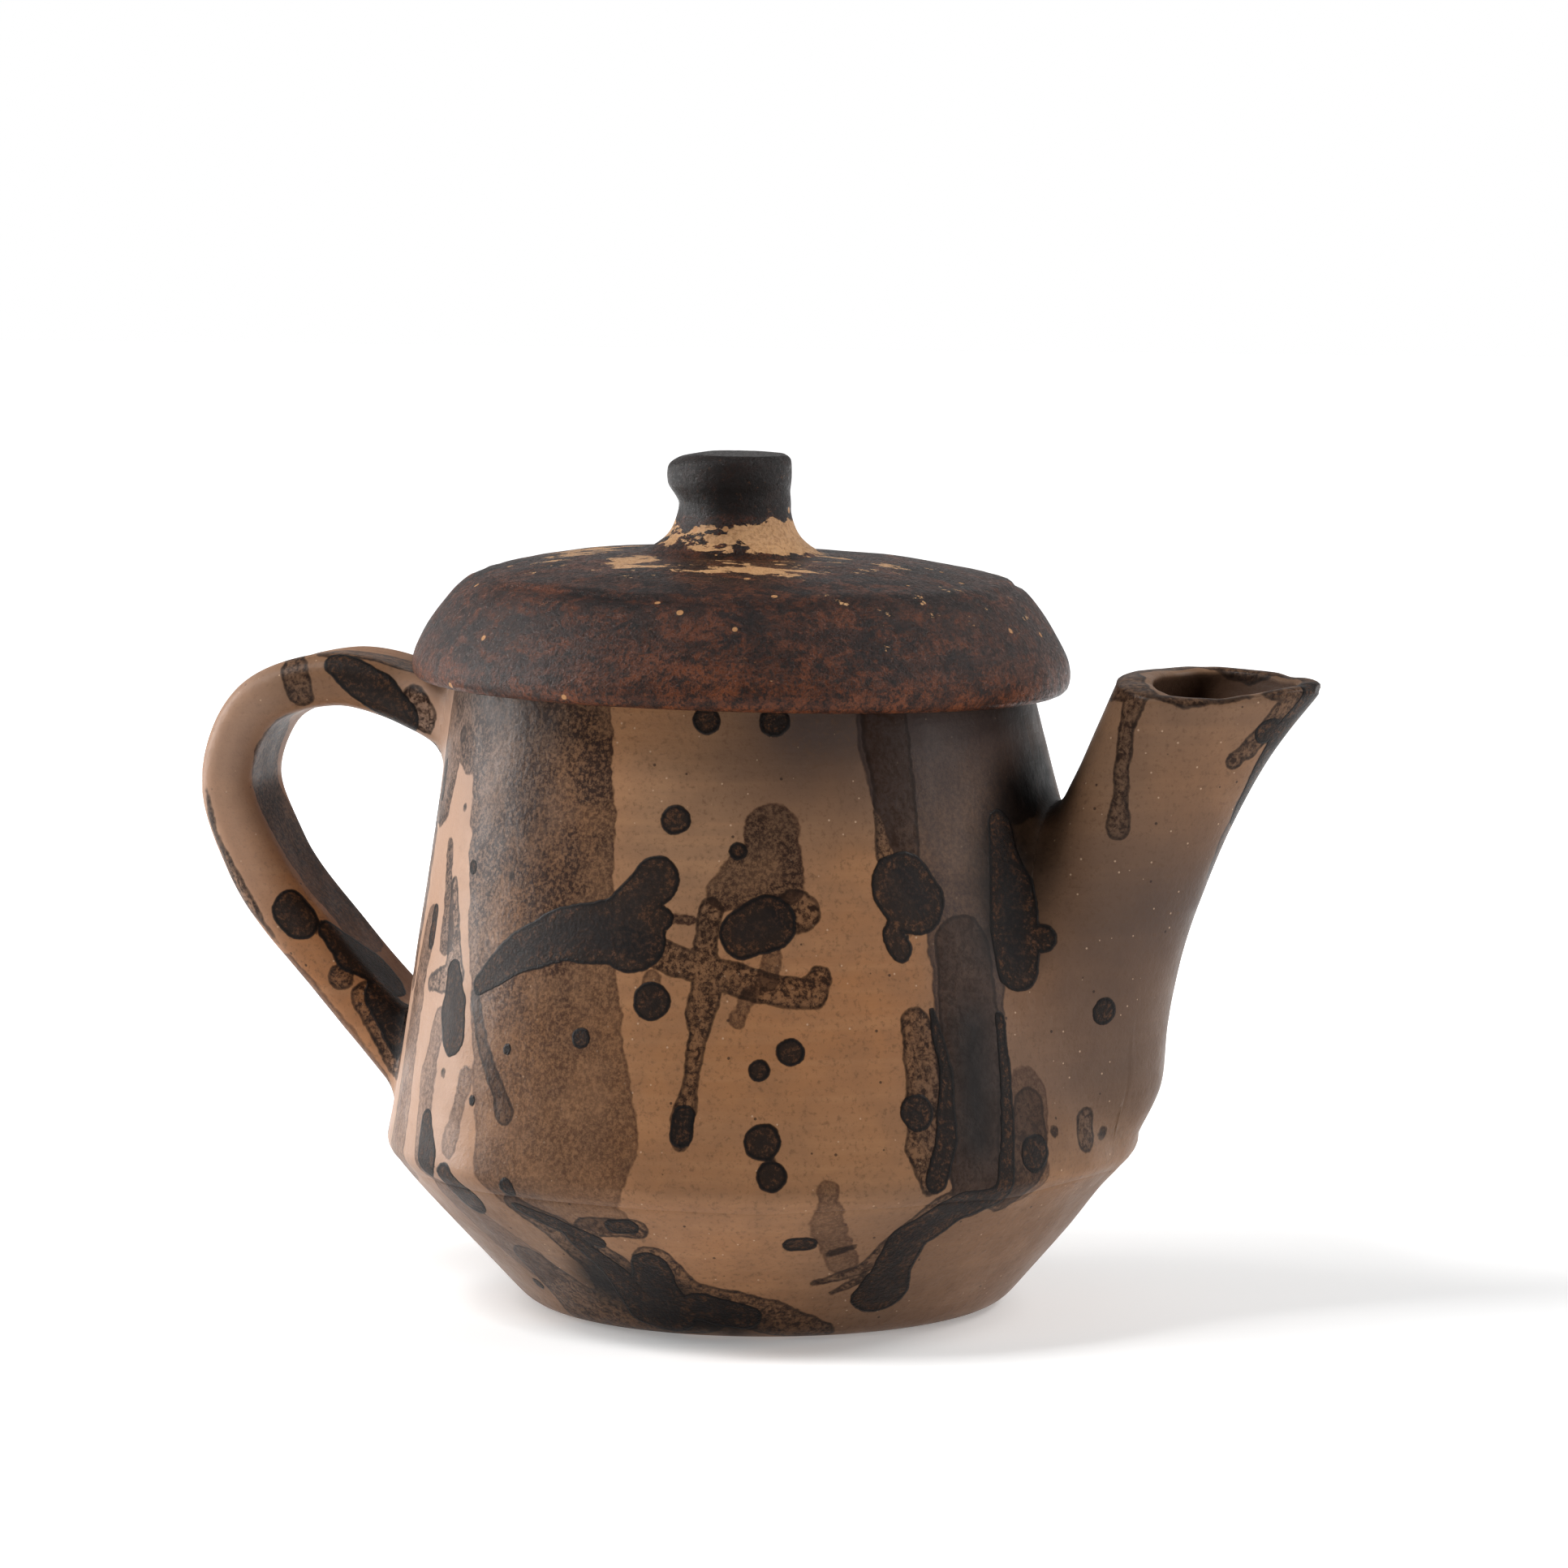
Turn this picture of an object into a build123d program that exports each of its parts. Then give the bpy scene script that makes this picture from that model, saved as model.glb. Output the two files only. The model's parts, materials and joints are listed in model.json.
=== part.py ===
from build123d import *
import math
import os

# Hand-built clay pouring pot with a strap handle, a tapered spout and a lift-off domed lid.
# Millimetres, +Z up. The origin is the centre of the flat face that the pot stands on, on the
# axis of the lower bowl. +X points to the spout, -X to the handle. The pot is symmetric about XZ.

# Lower bowl: a flat base, a cone that flares at about 47 degrees, and a sharp belly.
BASE_CORNER_R = 42.6        # where the cone would meet the floor with no rounding
BASE_ROUNDING = 9.0
BELLY_R = 68.6
BELLY_Z = 29.0
FLOOR_THICK = 7.0
WALL = 5.0

# Upper wall: an oblique cone from the belly to the mouth, which leans back from the spout.
MOUTH_X = -4.6
MOUTH_Z = 121.0
MOUTH_R = 50.2
LID_TILT = 1.2              # degrees: mouth and lid slope down towards the spout

# Spout: level egg-shaped sections, each (height, rear X, front X, half width).
SPOUT_SECTIONS = (
    (26.0, 26.0, 65.5, 20.0),
    (38.0, 25.0, 72.8, 25.0),
    (52.0, 29.0, 74.0, 26.5),
    (66.0, 38.0, 75.9, 24.0),
    (80.0, 48.0, 80.8, 19.5),
    (96.0, 56.9, 88.8, 17.5),
    (114.0, 64.8, 100.4, 17.0),
)
SPOUT_POINTEDNESS = 0.30    # how much narrower the front of a section is than its back
SPOUT_WALL = 4.3
SPOUT_CHANNEL_Z = (49.0, 58.0, 68.0, 80.0, 96.0, 114.0)
SPOUT_OUTLINE_POINTS = 16
POUR_HOLE_R = 12.5
POUR_HOLE_Z = 62.0

# Handle: a flattened strap that follows a loop of points (X, Z) and thickens at both roots.
HANDLE_PATH = (
    (-46.0, 101.0),
    (-62.5, 107.2),
    (-79.5, 111.1),
    (-93.9, 105.4),
    (-99.6, 92.8),
    (-95.5, 78.4),
    (-79.6, 58.2),
    (-56.0, 33.6),
)
STRAP_WIDTH = 24.0
STRAP_THICK = 9.6
STRAP_CORNER_R = 4.0
UPPER_ROOT_GROWTH = 7.0     # extra thickness and width inside the wall, at each end
LOWER_ROOT_GROWTH = 7.0
UPPER_ROOT_SHARE = 0.16     # how much of the path's length each root takes up
LOWER_ROOT_SHARE = 0.25
ROOT_CURVE = 1.5
HANDLE_STATIONS = 15

# Lid, in its own frame: Z up from the mouth's rim, on the mouth's axis.
LID_R = 59.4
LID_RIM_Z = -9.0            # the bottom of the rolled rim
LID_RIM_ROLL = 2.9          # radius of the rolled rim's section
LID_SHOULDER_R = 49.8
LID_SHOULDER_Z = 9.3
LID_SIDE_STEP = (5.6, 7.4)  # out and down from the shoulder to the middle of the side's arc
LID_TOP_Z = 15.0
LID_GAP = 0.3               # lid to rim, and lid to the handle's upper root
LID_HOLLOW_R = 39.0
LID_HOLLOW_TOP_Z = 9.0
LEDGE_R = 52.6              # the underside is flat from the hollow out to here
RING_R = 44.3
RING_THICK = 4.8
RING_DEPTH = 11.0

# Knob, in the lid's frame.
KNOB_X = -2.2
KNOB_TOP_Z = 31.9
KNOB_HEAD_R = 10.9
KNOB_NECK_R = 10.2
KNOB_ROOT_R = 15.5
KNOB_ROUNDING = 3.4

PARTS_DIR = "parts"


def wall_circle(fraction, inset=0.0):
    """A section of the upper wall's oblique cone, level at the belly, sloped at the mouth."""
    plane = Plane(
        origin=(MOUTH_X * fraction, 0, BELLY_Z + fraction * (MOUTH_Z - BELLY_Z)),
        x_dir=(1, 0, 0),
        z_dir=(0, 0, 1),
    ).rotated((0, LID_TILT * fraction, 0))
    return plane * Circle(BELLY_R + (MOUTH_R - BELLY_R) * fraction - inset)


def turned(face):
    """A solid turned about the vertical axis from a face in the XZ plane."""
    return revolve(face, Axis.Z)


def profile(*corners):
    """A closed face in the XZ plane from corners (X, Z)."""
    return make_face(Polyline([(x, 0, z) for x, z in corners], close=True))


def bowl_outer():
    """The outside of the lower bowl as one closed turned solid."""
    blank = turned(profile((0, 0), (BASE_CORNER_R, 0), (BELLY_R, BELLY_Z), (0, BELLY_Z)))
    lowest_edge = blank.edges().filter_by(GeomType.CIRCLE).sort_by(Axis.Z)[0]
    return fillet(lowest_edge, BASE_ROUNDING)


def bowl_inner():
    """The hollow of the lower bowl, open at the belly plane."""
    slope = math.atan2(BELLY_Z, BELLY_R - BASE_CORNER_R)
    side_shift = WALL / math.sin(slope)
    floor_r = BASE_CORNER_R + FLOOR_THICK / math.tan(slope) - side_shift
    belly_inner_r = BELLY_R - WALL
    join_z = (belly_inner_r - (BASE_CORNER_R - side_shift)) * math.tan(slope)
    return turned(
        profile(
            (0, FLOOR_THICK),
            (floor_r, FLOOR_THICK),
            (belly_inner_r, join_z),
            (belly_inner_r, BELLY_Z + 1),
            (0, BELLY_Z + 1),
        )
    )


def wall_outer():
    """The outside of the upper wall as one closed solid."""
    return loft([wall_circle(0), wall_circle(1)])


def wall_inner():
    """The hollow of the upper wall, a little longer than the wall at both ends."""
    overrun = 0.02
    return loft([wall_circle(-overrun, WALL), wall_circle(1 + overrun, WALL)])


def lid_frame():
    """The lid's own frame: on the mouth's rim, tilted with it."""
    return Plane(origin=(MOUTH_X, 0, MOUTH_Z), x_dir=(1, 0, 0), z_dir=(0, 0, 1)).rotated(
        (0, LID_TILT, 0)
    )


def spout_section(z, rear, front, half_width, inset=0.0):
    """A level egg-shaped section of the spout, blunt at the back and narrow at the lip."""
    centre = (rear + front) / 2
    half_length = (front - rear) / 2 - inset
    half_width = half_width - inset
    outline = []
    for step in range(SPOUT_OUTLINE_POINTS):
        turn = math.radians(step * 360 / SPOUT_OUTLINE_POINTS)
        narrowing = 1 - SPOUT_POINTEDNESS * math.cos(turn)
        outline.append(
            (centre + half_length * math.cos(turn), half_width * math.sin(turn) * narrowing, z)
        )
    return make_face(Spline(outline, periodic=True))


def spout_between(z):
    """Rear, front and half width of the spout at any height, between the given sections."""
    for low, high in zip(SPOUT_SECTIONS, SPOUT_SECTIONS[1:]):
        if z <= high[0]:
            break
    share = (z - low[0]) / (high[0] - low[0])
    return [a + share * (b - a) for a, b in zip(low[1:], high[1:])]


def spout_outer():
    return loft([spout_section(*section) for section in SPOUT_SECTIONS])


def spout_channel():
    """The channel, from inside the pour hole out through the lip."""
    sections = [spout_section(z, *spout_between(z), inset=SPOUT_WALL) for z in SPOUT_CHANNEL_Z]
    return loft(sections) + extrude(sections[-1], SPOUT_WALL)


def lid_envelope():
    """The lid's outline with its gap, and the space above it that the lid lifts through."""
    rim_r = LID_R + LID_GAP
    column = Cylinder(rim_r, LID_R, align=(Align.CENTER, Align.CENTER, Align.MIN))
    bottom_edge = column.edges().filter_by(GeomType.CIRCLE).sort_by(Axis.Z)[0]
    column = fillet(bottom_edge, LID_RIM_ROLL)
    return lid_frame() * Pos(0, 0, LID_RIM_Z - LID_GAP) * column


def root_growth(distance, share, growth):
    """Extra thickness at a distance from a root, as a share of the path's length."""
    return growth * max(0, 1 - distance / share) ** ROOT_CURVE


def handle_blank():
    """The strap before it is fitted to the wall."""
    path = Spline([(x, 0, z) for x, z in HANDLE_PATH])
    sections = []
    for station in range(HANDLE_STATIONS):
        along = station / (HANDLE_STATIONS - 1)
        growth = root_growth(along, UPPER_ROOT_SHARE, UPPER_ROOT_GROWTH)
        growth += root_growth(1 - along, LOWER_ROOT_SHARE, LOWER_ROOT_GROWTH)
        plane = Plane(origin=path @ along, x_dir=(0, 1, 0), z_dir=path % along)
        outline = RectangleRounded(STRAP_WIDTH + growth, STRAP_THICK + growth, STRAP_CORNER_R)
        sections.append(plane * outline)
    return loft(sections)


def make_lower_bowl():
    return bowl_outer() - bowl_inner()


def make_upper_wall():
    drill = Rot(0, 90, 0) * Cylinder(POUR_HOLE_R, MOUTH_R)
    pour_hole = Pos(MOUTH_R, 0, POUR_HOLE_Z) * drill
    return wall_outer() - wall_inner() - pour_hole


def make_spout(pot_outer):
    return spout_outer() - pot_outer - spout_channel()


def make_handle(pot_outer):
    return handle_blank() - pot_outer - lid_envelope()


def dome_height(r, edge_r, edge_z, top_z):
    """Height at radius r of a round dome that is edge_z high at edge_r and top_z on its axis."""
    rise = top_z - edge_z
    ball_r = (edge_r**2 + rise**2) / (2 * rise)
    return top_z - ball_r + math.sqrt(ball_r**2 - r**2)


def dome_arc(edge_r, edge_z, top_z):
    """Half of that dome's outline, from the axis out to its edge."""
    middle = (edge_r / 2, 0, dome_height(edge_r / 2, edge_r, edge_z, top_z))
    return ThreePointArc((0, 0, top_z), middle, (edge_r, 0, edge_z))


def lid_outside_height(r):
    """Height of the lid's low dome at a radius inside the shoulder."""
    return dome_height(r, LID_SHOULDER_R, LID_SHOULDER_Z, LID_TOP_Z)


def make_lid_cap():
    """A low dome over a slanted side, a rolled rim, a flat seat and a central hollow."""
    rim_centre_r = LID_R - LID_RIM_ROLL
    rim_centre_z = LID_RIM_Z + LID_RIM_ROLL
    shoulder = (LID_SHOULDER_R, 0, LID_SHOULDER_Z)
    dome = dome_arc(LID_SHOULDER_R, LID_SHOULDER_Z, LID_TOP_Z)
    side = ThreePointArc(
        shoulder,
        (LID_SHOULDER_R + LID_SIDE_STEP[0], 0, LID_SHOULDER_Z - LID_SIDE_STEP[1]),
        (LID_R, 0, rim_centre_z),
    )
    rim = ThreePointArc(
        (LID_R, 0, rim_centre_z),
        (rim_centre_r, 0, LID_RIM_Z),
        (rim_centre_r - LID_RIM_ROLL, 0, rim_centre_z),
    )
    underside = Polyline(
        (rim_centre_r - LID_RIM_ROLL, 0, rim_centre_z),
        (LEDGE_R, 0, LID_GAP),
        (LID_HOLLOW_R, 0, LID_GAP),
    )
    hollow = dome_arc(LID_HOLLOW_R, LID_GAP, LID_HOLLOW_TOP_Z)
    axis_line = Line((0, 0, LID_HOLLOW_TOP_Z), (0, 0, LID_TOP_Z))
    return turned(make_face([dome, side, rim, underside, hollow, axis_line]))


def make_lid_locating_ring():
    ring = turned(
        profile(
            (RING_R - RING_THICK, LID_GAP),
            (RING_R - RING_THICK, -RING_DEPTH),
            (RING_R, -RING_DEPTH),
            (RING_R, LID_GAP),
        )
    )
    lower_edges = ring.edges().filter_by(GeomType.CIRCLE).sort_by(Axis.Z)[:2]
    return fillet(lower_edges, RING_THICK * 0.4)


def make_lid_knob(cap):
    """A pinched knob with a flared root that sits on the dome."""
    root_z = lid_outside_height(KNOB_ROOT_R) - 1
    root_top = (KNOB_ROOT_R, 0, root_z + 1.4)
    head_low = (KNOB_HEAD_R, 0, KNOB_TOP_Z - KNOB_ROUNDING - 1.5)
    head_high = (KNOB_HEAD_R, 0, KNOB_TOP_Z - KNOB_ROUNDING)
    corner = KNOB_ROUNDING * (1 - math.sqrt(0.5))
    crown_edge = (KNOB_HEAD_R - KNOB_ROUNDING, 0, KNOB_TOP_Z)
    flare = [
        root_top,
        (KNOB_NECK_R + 1.2, 0, root_z + 4.2),
        (KNOB_NECK_R, 0, root_z + 8.5),
        head_low,
    ]
    outline = [
        Line((0, 0, root_z), (KNOB_ROOT_R, 0, root_z)),
        Line((KNOB_ROOT_R, 0, root_z), root_top),
        Spline(flare, tangents=[(-1, 0, 0.25), (0, 0, 1)]),
        Line(head_low, head_high),
        ThreePointArc(head_high, (KNOB_HEAD_R - corner, 0, KNOB_TOP_Z - corner), crown_edge),
        Line(crown_edge, (0, 0, KNOB_TOP_Z)),
        Line((0, 0, KNOB_TOP_Z), (0, 0, root_z)),
    ]
    return Pos(KNOB_X, 0, 0) * turned(make_face(outline)) - cap


def main():
    os.makedirs(PARTS_DIR, exist_ok=True)
    pot_outer = bowl_outer() + wall_outer()
    cap = make_lid_cap()
    lid = lid_frame().location
    nodes = {
        "lower_bowl": make_lower_bowl(),
        "upper_wall": make_upper_wall(),
        "spout": make_spout(pot_outer),
        "handle": make_handle(pot_outer),
        "lid_cap": lid * cap,
        "lid_locating_ring": lid * make_lid_locating_ring(),
        "lid_knob": lid * make_lid_knob(cap),
    }
    for name, solid in nodes.items():
        export_step(solid, f"{PARTS_DIR}/{name}.step")


main()
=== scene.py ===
import itertools
import json
import math

import bmesh
import bpy
import numpy as np
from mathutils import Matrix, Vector


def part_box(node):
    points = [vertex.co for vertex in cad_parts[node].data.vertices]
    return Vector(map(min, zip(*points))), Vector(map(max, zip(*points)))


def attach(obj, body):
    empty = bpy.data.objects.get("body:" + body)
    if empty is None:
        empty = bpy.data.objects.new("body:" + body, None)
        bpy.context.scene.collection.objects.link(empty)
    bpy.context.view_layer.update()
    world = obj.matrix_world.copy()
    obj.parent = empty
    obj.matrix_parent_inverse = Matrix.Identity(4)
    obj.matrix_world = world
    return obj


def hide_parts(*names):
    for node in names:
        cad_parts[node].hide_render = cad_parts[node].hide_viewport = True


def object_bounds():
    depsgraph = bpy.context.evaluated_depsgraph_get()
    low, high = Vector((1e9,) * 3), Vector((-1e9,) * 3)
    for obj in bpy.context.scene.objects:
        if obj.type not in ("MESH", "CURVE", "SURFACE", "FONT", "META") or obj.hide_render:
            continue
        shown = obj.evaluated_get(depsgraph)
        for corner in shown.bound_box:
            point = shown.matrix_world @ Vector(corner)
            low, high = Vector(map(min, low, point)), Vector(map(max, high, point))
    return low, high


# Looks for a hand-built, wood-fired clay pouring pot with a strap handle, a tapered spout and a
# loose domed lid. Shapes are worked out in millimetres in the frame's axes: +Z up, +X to the
# spout, -X to the handle. Every mesh is written in metres.

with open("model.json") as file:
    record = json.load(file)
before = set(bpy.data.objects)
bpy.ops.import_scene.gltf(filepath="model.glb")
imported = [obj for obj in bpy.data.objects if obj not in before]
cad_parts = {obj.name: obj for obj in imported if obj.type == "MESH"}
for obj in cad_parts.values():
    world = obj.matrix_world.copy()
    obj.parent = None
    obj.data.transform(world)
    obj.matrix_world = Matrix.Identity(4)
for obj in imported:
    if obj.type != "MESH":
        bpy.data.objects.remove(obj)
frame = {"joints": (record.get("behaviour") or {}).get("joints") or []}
cad_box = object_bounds()

MM = 0.001


def node_box(node):
    """Lowest and highest corner of a CAD node, in millimetres."""
    low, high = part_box(node)
    return np.array(low) / MM, np.array(high) / MM


# ---------------------------------------------------------------- driving dimensions
BOWL_HIGH = node_box("lower_bowl")[1]
SPOUT_HIGH = node_box("spout")[1]
LID_AXIS = frame["joints"][0]["axis"]

BASE_CORNER_R = 42.6                # where the bowl's cone would meet the floor
BASE_ROUNDING = 9.0
BELLY_R = BOWL_HIGH[1] - 0.35       # leaves room for the hand-worked unevenness
BELLY_Z = BOWL_HIGH[2]
BELLY_ROUNDING = 3.5
FLOOR_THICK = 7.0
WALL = 5.0
SEAM_Z = 26.6                       # the luted joint between bowl and wall, just under the belly
SKIRT = 1.3                         # how far each piece runs on past the seam, sunk below the other
MOUTH_X = -4.6
MOUTH_Z = 121.0
MOUTH_R = 50.2
TILT = math.asin(LID_AXIS[0])       # mouth and lid slope down towards the spout
SINK = 2.5                          # how deep the spout and handle run into the wall

# The grid of cells on the wall and the bowl, and the pouring hole's place and half size in it.
BODY_COLUMNS = 560
BOWL_ROWS = 40
WALL_ROWS = 110
WALL_LOW_Z = SEAM_Z - SKIRT
WALL_TOP_Z = MOUTH_Z - 1.4
WALL_PITCH = (WALL_TOP_Z - WALL_LOW_Z) / WALL_ROWS
POUR_HOLE_Z = 62.0
HOLE_ROW = 2 * round((POUR_HOLE_Z - WALL_LOW_Z) / WALL_PITCH / 2)
HOLE_HALF_WIDE = 18
HOLE_HALF_HIGH = 14

# Level egg-shaped sections of the spout: height, rear X, front X, half width, pointedness.
SPOUT_OUTSIDE = np.array([
    (16.0, 28.0, 51.0, 13.0, 0.15),
    (26.0, 26.0, 63.2, 20.0, 0.18),
    (32.0, 25.0, 67.7, 23.0, 0.20),
    (40.0, 25.0, 71.8, 25.5, 0.20),
    (52.0, 29.0, 73.2, 26.5, 0.22),
    (66.0, 38.0, 76.1, 24.0, 0.25),
    (80.0, 48.0, 81.4, 19.5, 0.28),
    (92.0, 54.8, 87.2, 17.9, 0.32),
    (103.0, 59.9, 93.5, 17.2, 0.37),
    (115.0, 65.2, 103.0, 17.0, 0.44),
])
SPOUT_INSIDE = np.array([
    (43.0, 42.0, 57.0, 5.0, 0.10),
    (50.0, 43.0, 66.0, 12.0, 0.15),
    (57.0, 44.0, 69.6, 15.5, 0.20),
    (66.0, 46.0, 71.4, 17.5, 0.22),
    (80.0, 54.0, 76.6, 15.0, 0.26),
    (96.0, 63.0, 84.6, 13.4, 0.32),
    (115.0, 72.0, 98.2, 13.0, 0.38),
])
SPOUT_REAR_Z = 115.0                # the rim's height at the back, at the tip, and how the two
SPOUT_TIP_Z = 114.1                 # long sides leave the straight line between them
SPOUT_NEAR_DIP = -2.4
SPOUT_FAR_RISE = 0.3
SPOUT_RIM_ROLL = 1.3

# The strap's centre line (X, Z) from the upper root to the lower one.
HANDLE_PATH = np.array([
    (-46.0, 101.0),
    (-62.5, 107.2),
    (-79.5, 111.1),
    (-94.5, 105.8),
    (-100.0, 93.0),
    (-95.2, 78.0),
    (-79.7, 58.0),
    (-56.0, 33.6),
])
STRAP_WIDTH = 23.6
STRAP_THICK = 9.5
STRAP_CORNER_R = 4.3
ROOT_GROWTHS = (7.0, 4.0)           # extra thickness and width at each end of the path
ROOT_SHARES = (0.16, 0.25)          # how much of the path each root takes up

# Lid, in its own frame: Z up from the mouth's rim, on the mouth's axis. (radius, height)
LID_OUTSIDE = np.array([
    (0.0, 14.3),
    (12.0, 14.2),
    (24.0, 13.7),
    (34.0, 12.6),
    (42.5, 11.1),
    (48.3, 9.5),
    (51.7, 7.0),
    (54.1, 4.1),
    (56.1, 1.1),
    (57.8, -2.0),
    (58.9, -4.6),
    (59.2, -6.9),
    (58.6, -8.6),
    (57.0, -9.3),
    (55.2, -8.9),
    (54.3, -7.4),
    (53.6, -4.0),
    (52.9, -0.9),
    (51.4, 0.3),
])
LID_HOLLOW_R = 39.0
LID_HOLLOW_TOP_Z = 9.0
LID_GAP = 0.3
RING_R = 44.3
RING_THICK = 4.8
RING_DEPTH = 11.0

# Knob, about its own axis in the lid's frame. (radius, height)
KNOB_X = -2.2
KNOB_OUTSIDE = np.array([
    (20.0, 12.4),
    (17.4, 13.8),
    (14.6, 15.0),
    (12.2, 17.0),
    (10.9, 19.6),
    (10.2, 22.2),
    (10.3, 24.6),
    (10.8, 26.8),
    (10.9, 28.8),
    (10.6, 30.8),
    (9.2, 31.8),
    (5.0, 32.0),
    (0.0, 31.9),
])

# Hand-worked unevenness in layers: how far in mm, over what size in mm, and the seed.
POT_DENTS = ((0.42, 34, 11), (0.16, 13, 12), (0.06, 5, 13))
CAP_DENTS = ((0.40, 26, 61), (0.20, 11, 62), (0.07, 4, 63))
KNOB_DENTS = ((0.30, 9, 91), (0.14, 4, 92))


# ---------------------------------------------------------------- numbers and curves
def bell(values):
    return np.exp(-np.square(values))


def smooth_step(values, low, high):
    """0 below low, 1 above high, and a smooth rise between them."""
    share = np.clip((values - low) / (high - low), 0, 1)
    return share * share * (3 - 2 * share)


def smooth_curve(where, stops, points):
    """A smooth curve through the points, given at the stops, read at where."""
    where = np.atleast_1d(where)
    slopes = np.gradient(points, stops, axis=0)
    span = np.clip(np.searchsorted(stops, where) - 1, 0, len(stops) - 2)
    length = stops[span + 1] - stops[span]
    t = np.clip((where - stops[span]) / length, 0, 1)
    if points.ndim > 1:
        t = t[:, None]
        length = length[:, None]
    rise = points[span] * (1 + 2 * t) * (1 - t) ** 2 + points[span + 1] * t * t * (3 - 2 * t)
    bend = slopes[span] * t * (1 - t) ** 2 - slopes[span + 1] * t * t * (1 - t)
    return rise + length * bend


def unit(vectors):
    """The same directions, each with length 1."""
    return vectors / np.maximum(np.linalg.norm(vectors, axis=-1, keepdims=True), 1e-6)


def circle_angles(count):
    return np.arange(count) * 2 * math.pi / count


def ring(radius, angles, height, centre=0.0):
    """Points round the Z axis, or round an upright line at X = centre."""
    x = centre + radius * np.cos(angles)
    return np.stack([x, radius * np.sin(angles), 0 * angles + height], axis=-1)


def arc_lengths(points):
    """Distance along a line of points, from its start."""
    steps = np.linalg.norm(np.diff(points, axis=0), axis=1)
    return np.concatenate([[0], np.cumsum(steps)])


def even_steps(line, step):
    """Points along a line, in even steps of about the given length."""
    lengths = arc_lengths(line)
    places = np.linspace(0, lengths[-1], max(2, round(lengths[-1] / step) + 1))
    return np.stack([np.interp(places, lengths, axis) for axis in line.T], axis=1)


def even_line(points, step):
    """The smooth curve through the points, in even steps."""
    stops = arc_lengths(points)
    places = np.linspace(0, stops[-1], 40 * len(points))
    return even_steps(smooth_curve(places, stops, points), step)


def rounded_line(corners, radii, step):
    """Straight lines between corners, with each corner rounded, in even steps."""
    corners = np.array(corners, float)
    line = [corners[0]]
    for before, corner, after, radius in zip(corners, corners[1:], corners[2:], radii[1:]):
        back, ahead = unit(before - corner), unit(after - corner)
        half = math.acos(np.clip(back @ ahead, -1, 1)) / 2
        trim = radius / math.tan(half)
        start, end = corner + back * trim, corner + ahead * trim
        for share in np.linspace(0, 1, 12):
            bend = start * (1 - share) ** 2 + 2 * corner * share * (1 - share) + end * share**2
            line.append(bend)
    line.append(corners[-1])
    return even_steps(np.array(line), step)


def lattice_noise(points, size, seed):
    """Smooth random values from -1 to 1 that change over about size millimetres."""
    table = np.random.default_rng(seed).uniform(-1, 1, (32, 32, 32))
    scaled = points / size
    cell = np.floor(scaled).astype(int)
    part = scaled - cell
    part = part * part * (3 - 2 * part)
    total = np.zeros(len(points))
    for corner in itertools.product((0, 1), repeat=3):
        weight = np.prod(np.where(corner, part, 1 - part), axis=1)
        index = (cell + corner) % 32
        total += weight * table[index[:, 0], index[:, 1], index[:, 2]]
    return total


# ---------------------------------------------------------------- the pot's body as a field
BODY_LINE = rounded_line(
    [(0, 0), (BASE_CORNER_R, 0), (BELLY_R, BELLY_Z), (MOUTH_R, MOUTH_Z)],
    [0, BASE_ROUNDING, BELLY_ROUNDING],
    0.25,
)
BODY_SIDE = BODY_LINE[BODY_LINE[:, 1] > 1e-6]


def wall_share(z):
    """0 at the belly and 1 at the mouth."""
    return np.clip((z - BELLY_Z) / (MOUTH_Z - BELLY_Z), 0, 1)


def body_radius(theta, z):
    """The pot's outside radius, with the slack places that hand building left."""
    radius = np.interp(z, BODY_SIDE[:, 1], BODY_SIDE[:, 0])
    handle_side = (0.5 - 0.5 * np.cos(theta)) ** 2
    spout_side = np.maximum(np.cos(theta), 0) ** 2
    radius = radius - 0.4 * handle_side * bell((z - 80) / 26)
    radius = radius + 0.9 * handle_side * bell((z - 22) / 12)
    return radius - 1.5 * spout_side * bell((z - 25) / 8)


def body_point(theta, z, inset=0.0):
    """A point of the pot's outside; z is measured before the mouth's slope is put in."""
    radius = body_radius(theta, z) - inset
    share = wall_share(z)
    x = radius * np.cos(theta)
    y = radius * np.sin(theta)
    return np.stack([x + MOUTH_X * share, y, z - math.tan(TILT) * x * share], axis=-1)


def body_distance(points):
    """Distance outside the pot's body, negative inside it."""
    x, y, z = points.T
    share = wall_share(z)
    from_axis = x - MOUTH_X * share
    level = z + math.tan(TILT) * from_axis * share
    theta = np.arctan2(y, from_axis)
    radius = body_radius(theta, level)
    slope = body_radius(theta, level + 0.5) - body_radius(theta, level - 0.5)
    return (np.hypot(from_axis, y) - radius) / np.sqrt(1 + slope**2)


# ---------------------------------------------------------------- the spout as a field
def spout_point(turn, z, table):
    """A point of the spout; turn 0 is the lip's line, pi the side towards the pot."""
    rear, front, half_width, point = smooth_curve(z, table[:, 0], table[:, 1:]).T
    x = (rear + front) / 2 + (front - rear) / 2 * np.cos(turn)
    y = half_width * np.sin(turn) * (1 - point * np.cos(turn))
    return np.stack([x, y, z + 0 * turn], axis=-1)


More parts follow.
